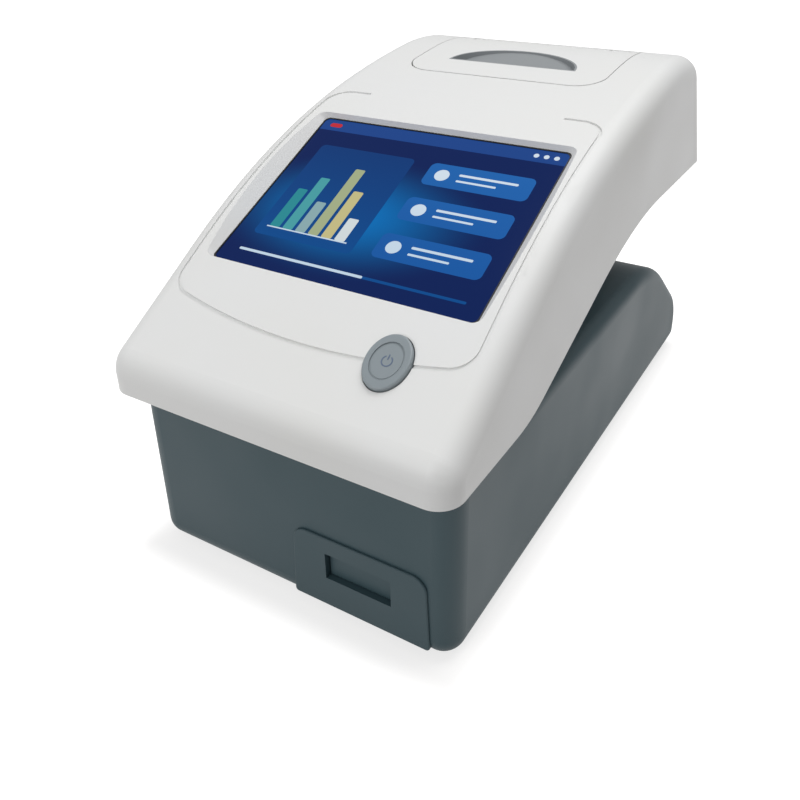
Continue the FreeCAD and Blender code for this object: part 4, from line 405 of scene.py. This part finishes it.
# Sizes in mm across and up the screen. The picture has three layers of thin film: the ground,
# what lies on it, and the marks on top.
half_wide, half_high = 56.9, 43.0
film = 0.05
low, middle, top = 0.02, 0.07, 0.12
picture = [plate(glass, (-half_wide, -half_high), (half_wide, half_high), 2.0, low, film, ground),
           plate(glass, (-half_wide, 36.2), (half_wide, half_high), 0, middle, film, bar_blue),
           plate(glass, (-49, -27), (-3, 27), 2.2, middle, film, card_blue),
           plate(glass, (-45, -22.6), (-7, -22.0), 0, top, film, pale)]

bar_left, bar_foot, bar_pitch, bar_width = -44, -22, 6.2, 4.6
bar_heights = (22, 30, 17, 38, 26, 12)
for i, (code, height) in enumerate(zip(bar_codes, bar_heights)):
    u = bar_left + bar_pitch * i
    picture.append(plate(glass, (u, bar_foot), (u + bar_width, bar_foot + height), 0.7, top, film,
                         lit("display_bar_%d" % (i + 1), code, code)))

key_left, key_right, key_high = 5, 50, 12.5
for foot in (14.5, -5.5, -25.5):
    picture.append(plate(glass, (key_left, foot), (key_right, foot + key_high), 2.6, middle, film,
                         key_blue))
    picture.append(disc(glass, 12, foot + key_high / 2, 3.1, top, film, pale))
    picture.append(plate(glass, (19, foot + 7.2), (44, foot + 8.4), 0.5, top, film, pale))
    picture.append(plate(glass, (19, foot + 4.0), (36, foot + 5.0), 0.4, top, film, pale))

dot_left, dot_pitch, dot_up = 44, 4.2, 39.6
for i in range(3):
    picture.append(disc(glass, dot_left + dot_pitch * i, dot_up, 1.1, top, film, pale))
picture.append(plate(glass, (-53, 38.4), (-47, 40.8), 1.1, top, film, red))

line_left, line_now, line_right = -49, 8, 50
line_foot, line_head = -36.4, -35.2
picture.append(plate(glass, (line_left, line_foot), (line_right, line_head), 0.5, middle, film,
                     card_blue))
picture.append(plate(glass, (line_left, line_foot), (line_now, line_head), 0.5, top, film, pale))
joined("screen_picture", picture, "case")

# %% [markdown]
# ## The key's mark
# The round key carries the usual on and off sign: an open ring with a bar in its gap. The ring is
# a circle with its middle cut out and the top part taken away.

# %% Power sign on the key
key_centre = Vector((36.0, -119.66, 107.47)) * mm
key_tilt = 33.0
key = Slope(key_centre, key_tilt)
sign_blue = moulded("printed_blue_grey_sign", "#5F6E86", grain_mm=0.2, depth_mm=0.002, rough=0.35)
# How far the middle of the key's face lies out of its slope, and how thick the print is, in mm.
sign_low, ink = 1.41, 0.08


def open_ring(slope, radius, width, gap_deg, low, height, material):
    """A flat ring with a gap at its top."""
    bpy.ops.object.select_all(action="DESELECT")
    bpy.ops.mesh.primitive_circle_add(vertices=48, radius=radius * mm, fill_type="NGON",
                                      location=slope.at(0, 0, low), rotation=(slope.tilt, 0, 0))
    piece = bpy.context.active_object
    bpy.ops.object.mode_set(mode="EDIT")
    bpy.ops.mesh.select_all(action="SELECT")
    bpy.ops.mesh.inset(thickness=width * mm)
    bpy.ops.mesh.delete(type="FACE")
    bpy.ops.object.mode_set(mode="OBJECT")
    # A face's centre lies inside the circle, so the limit is a little lower than the gap's corner.
    limit = 0.9 * radius * mm * math.cos(math.radians(gap_deg / 2))
    for face in piece.data.polygons:
        face.select = face.center.y > limit
    bpy.ops.object.mode_set(mode="EDIT")
    bpy.ops.mesh.delete(type="FACE")
    bpy.ops.object.mode_set(mode="OBJECT")
    return raise_face(piece, slope, height, material)


sign = [open_ring(key, 2.1, 0.42, 64, sign_low, ink, sign_blue),
        plate(key, (-0.21, 0.5), (0.21, 2.5), 0.1, sign_low, ink, sign_blue)]
joined("power_sign", sign, "button")

# %% [markdown]
# ## Paper that leaves the roll
# Behind the printer door the paper runs from the top of the roll over the front wall of its bay
# and lies on the platen up to the tear bar. It starts as a narrow plane across the roll. Its
# front edge is extruded from point to point, and a solidify modifier gives it its thickness.

# %% Paper web


def paper_web(half_width, route, thickness):
    """A strip of paper through points given as y and z in mm."""
    (y0, z0), (y1, z1) = route[:2]
    bpy.ops.object.select_all(action="DESELECT")
    bpy.ops.mesh.primitive_plane_add(size=mm,
                                     location=(0, (y0 + y1) / 2 * mm, (z0 + z1) / 2 * mm))
    strip = bpy.context.active_object
    strip.scale = (2 * half_width, math.dist(route[0], route[1]), 1)
    strip.rotation_euler.x = math.atan2(z0 - z1, y0 - y1)
    bpy.ops.object.transform_apply(location=True, rotation=True, scale=True)
    bpy.ops.object.mode_set(mode="EDIT")
    bpy.ops.mesh.select_mode(type="EDGE")
    bpy.ops.mesh.select_all(action="DESELECT")
    bpy.ops.object.mode_set(mode="OBJECT")
    front = min(v.co.y for v in strip.data.vertices)
    for edge in strip.data.edges:
        edge.select = all(strip.data.vertices[i].co.y < front + 0.01 * mm for i in edge.vertices)
    bpy.ops.object.mode_set(mode="EDIT")
    for (ya, za), (yb, zb) in zip(route[1:], route[2:]):
        step = (0, (yb - ya) * mm, (zb - za) * mm)
        bpy.ops.mesh.extrude_region_move(TRANSFORM_OT_translate={"value": step})
    bpy.ops.object.mode_set(mode="OBJECT")
    solid = strip.modifiers.new("thickness", "SOLIDIFY")
    solid.thickness = thickness * mm
    solid.offset = 1.0
    bpy.ops.object.modifier_apply(modifier=solid.name)
    bpy.ops.object.mode_set(mode="EDIT")
    bpy.ops.mesh.select_all(action="SELECT")
    bpy.ops.mesh.normals_make_consistent(inside=False)
    bpy.ops.mesh.select_mode(type="VERT")
    bpy.ops.object.mode_set(mode="OBJECT")
    strip.data.materials.append(paper)
    return strip


def around(centre, radius, degrees):
    """Points y and z in mm on a circle round a centre."""
    return [(centre[0] + radius * math.cos(math.radians(a)),
             centre[1] + radius * math.sin(math.radians(a))) for a in degrees]


roll_centre, roll_skin = (61.6, 146.3), 18.62
platen_centre, platen_skin = (33.1, 159.8), 5.62
over_wall = [(41.2, 166.42), (40.4, 166.5), (39.2, 166.5), (38.4, 166.42)]
tear_edge = (26.4, 165.28)
route = (around(roll_centre, roll_skin, (70, 74, 78, 82, 86)) + over_wall
         + around(platen_centre, platen_skin, (76, 84, 92, 100)) + [tear_edge])
web_half_width, web_thickness = 28.6, 0.08
web = paper_web(web_half_width, route, web_thickness)
joined("paper_web", [web], "case")
length = sum(math.dist(a, b) for a, b in zip(route, route[1:]))
print("paper web:", 2 * web_half_width, "mm wide,", round(length, 1), "mm long")

# %% [markdown]
# ## Cross recesses of the base screws
# The six screws in the bottom cover have a cross for the driver. Two narrow bars with round ends
# stand for it on each head. Their near-black is painted shade, because the cross is a hollow in the
# head.

# %% Cross recesses
# Near-black finish for the cross: painted shade of the hollow, not a dark material.
cross_painted_shade = moulded("painted_shade_screw_recess", "#1E1F20", grain_mm=0.2, depth_mm=0.01, rough=0.7)
head_height = 1.3
reach, half_bar, bar_corner, bar_thick = 1.6, 0.35, 0.15, 0.02
crosses = []
for x in (-54.8, 54.8):
    for y in (-119.3, 3.0, 101.0):
        head = Slope(Vector((x, y, head_height)) * mm, 180.0)
        crosses.append(plate(head, (-reach, -half_bar), (reach, half_bar), bar_corner, 0.0,
                             bar_thick, cross_painted_shade))
        crosses.append(plate(head, (-half_bar, -reach), (half_bar, reach), bar_corner, bar_thick,
                             bar_thick, cross_painted_shade))
joined("screw_crosses", crosses, "case")

# %% [markdown]
# ## Floor and backdrop
# The picture is a cut-out look: white all round, with a soft shadow close to the instrument. The
# floor is a mid-grey sheet, so that it throws little light up at the base. The camera and the
# glossy rays also see a glow on it, which grows from the instrument outwards. Close by, the glow
# is dimmed, which paints a shadow round the footprint on top of the real one; further off the
# sheet is plain white. The glow lights nothing.

# %% Floor
bpy.ops.mesh.primitive_plane_add(size=8.0, location=(0, 0, 0))
floor = bpy.context.active_object
floor.name = "studio_floor"
paper_sweep, tree, shader = blank_material("white_paper_sweep")
place = add(tree, "ShaderNodeTexCoord").outputs["Object"]
footprint_half = (0.068, 0.138, 0)
# Next to the footprint the glow drops to this level, a painted shadow on top of the real one, and
# it fades out over this reach.
painted_shadow_reach, foot_glow_painted_shadow = 0.018, 0.7
half = add(tree, "ShaderNodeVectorMath", {0: place}, operation="ABSOLUTE").outputs["Vector"]
past = add(tree, "ShaderNodeVectorMath", {0: half, 1: footprint_half},
           operation="SUBTRACT").outputs["Vector"]
past = add(tree, "ShaderNodeVectorMath", {0: past, 1: (0, 0, 0)},
           operation="MAXIMUM").outputs["Vector"]
away = add(tree, "ShaderNodeVectorMath", {0: past}, operation="LENGTH").outputs["Value"]
glow = add(tree, "ShaderNodeMapRange", {"Value": away, "From Max": painted_shadow_reach,
                                        "To Min": foot_glow_painted_shadow, "To Max": 1.0},
           interpolation_type="SMOOTHSTEP")
path = add(tree, "ShaderNodeLightPath").outputs
seen = add(tree, "ShaderNodeMath", {0: path["Is Camera Ray"], 1: path["Is Glossy Ray"]},
           operation="MAXIMUM")
lift = add(tree, "ShaderNodeMath", {0: seen.outputs["Value"], 1: glow.outputs["Result"]},
           operation="MULTIPLY")
shader.inputs["Base Color"].default_value = linear("#A09E9D")
shader.inputs["Roughness"].default_value = 0.9
shader.inputs["Specular IOR Level"].default_value = 0.0
shader.inputs["Emission Color"].default_value = linear("#FFFFFF")
tree.links.new(lift.outputs["Value"], shader.inputs["Emission Strength"])
floor.data.materials.append(paper_sweep)

# %% World light
world = bpy.data.worlds.new("soft_room")
bpy.context.scene.world = world
world.use_nodes = True
tree = world.node_tree
tree.nodes.clear()
path = add(tree, "ShaderNodeLightPath").outputs
room_level = 0.42
level = add(tree, "ShaderNodeMapRange", {"Value": path["Is Camera Ray"], "To Min": room_level,
                                         "To Max": 1.0})
sky = add(tree, "ShaderNodeBackground", {"Color": linear("#FFFFFF"),
                                         "Strength": level.outputs["Result"]})
add(tree, "ShaderNodeOutputWorld", {"Surface": sky.outputs["Background"]})

# %% [markdown]
# ## Studio lights
# One big soft box hangs overhead, behind and to the right. So the top faces are brightest, the
# right side of the white housing stays in half shade, and the box's mirror image stays off the
# screen. A weaker one stands in front, a little to the left, and lifts the lip.

# %% Lights


def soft_box(name, place, target, size, watts):
    """A square area light that faces a point."""
    lamp = bpy.data.lights.new(name, "AREA")
    lamp.size = size
    lamp.energy = watts
    holder = bpy.data.objects.new(name, lamp)
    bpy.context.collection.objects.link(holder)
    holder.location = place
    aim = Vector(target) - Vector(place)
    holder.rotation_mode = "QUATERNION"
    holder.rotation_quaternion = aim.to_track_quat("-Z", "Y")


soft_box("overhead_box", (0.22, 0.3, 1.3), (0, 0, 0.05), 1.0, 10.5)
soft_box("front_box", (-0.35, -1.4, 0.7), (0, 0, 0.1), 0.8, 7.5)

# %% Camera
camera = bpy.data.objects.new("bench_camera", bpy.data.cameras.new("bench_camera"))
bpy.context.collection.objects.link(camera)
azimuth = math.radians(30.02)
elevation = math.radians(26.45)
back = Vector((math.sin(azimuth) * math.cos(elevation), -math.cos(azimuth) * math.cos(elevation),
               math.sin(elevation)))
camera.location = Vector((163.46, -313.49, 242.3)) * mm
camera.rotation_mode = "QUATERNION"
camera.rotation_quaternion = (-back).to_track_quat("-Z", "Y")
camera.data.sensor_width = 36.0
camera.data.lens = 37.18
camera.data.shift_x = -0.037
camera.data.shift_y = -0.1138
camera.data.clip_start = 0.01
bpy.context.scene.camera = camera
bpy.context.scene.view_settings.view_transform = "Standard"
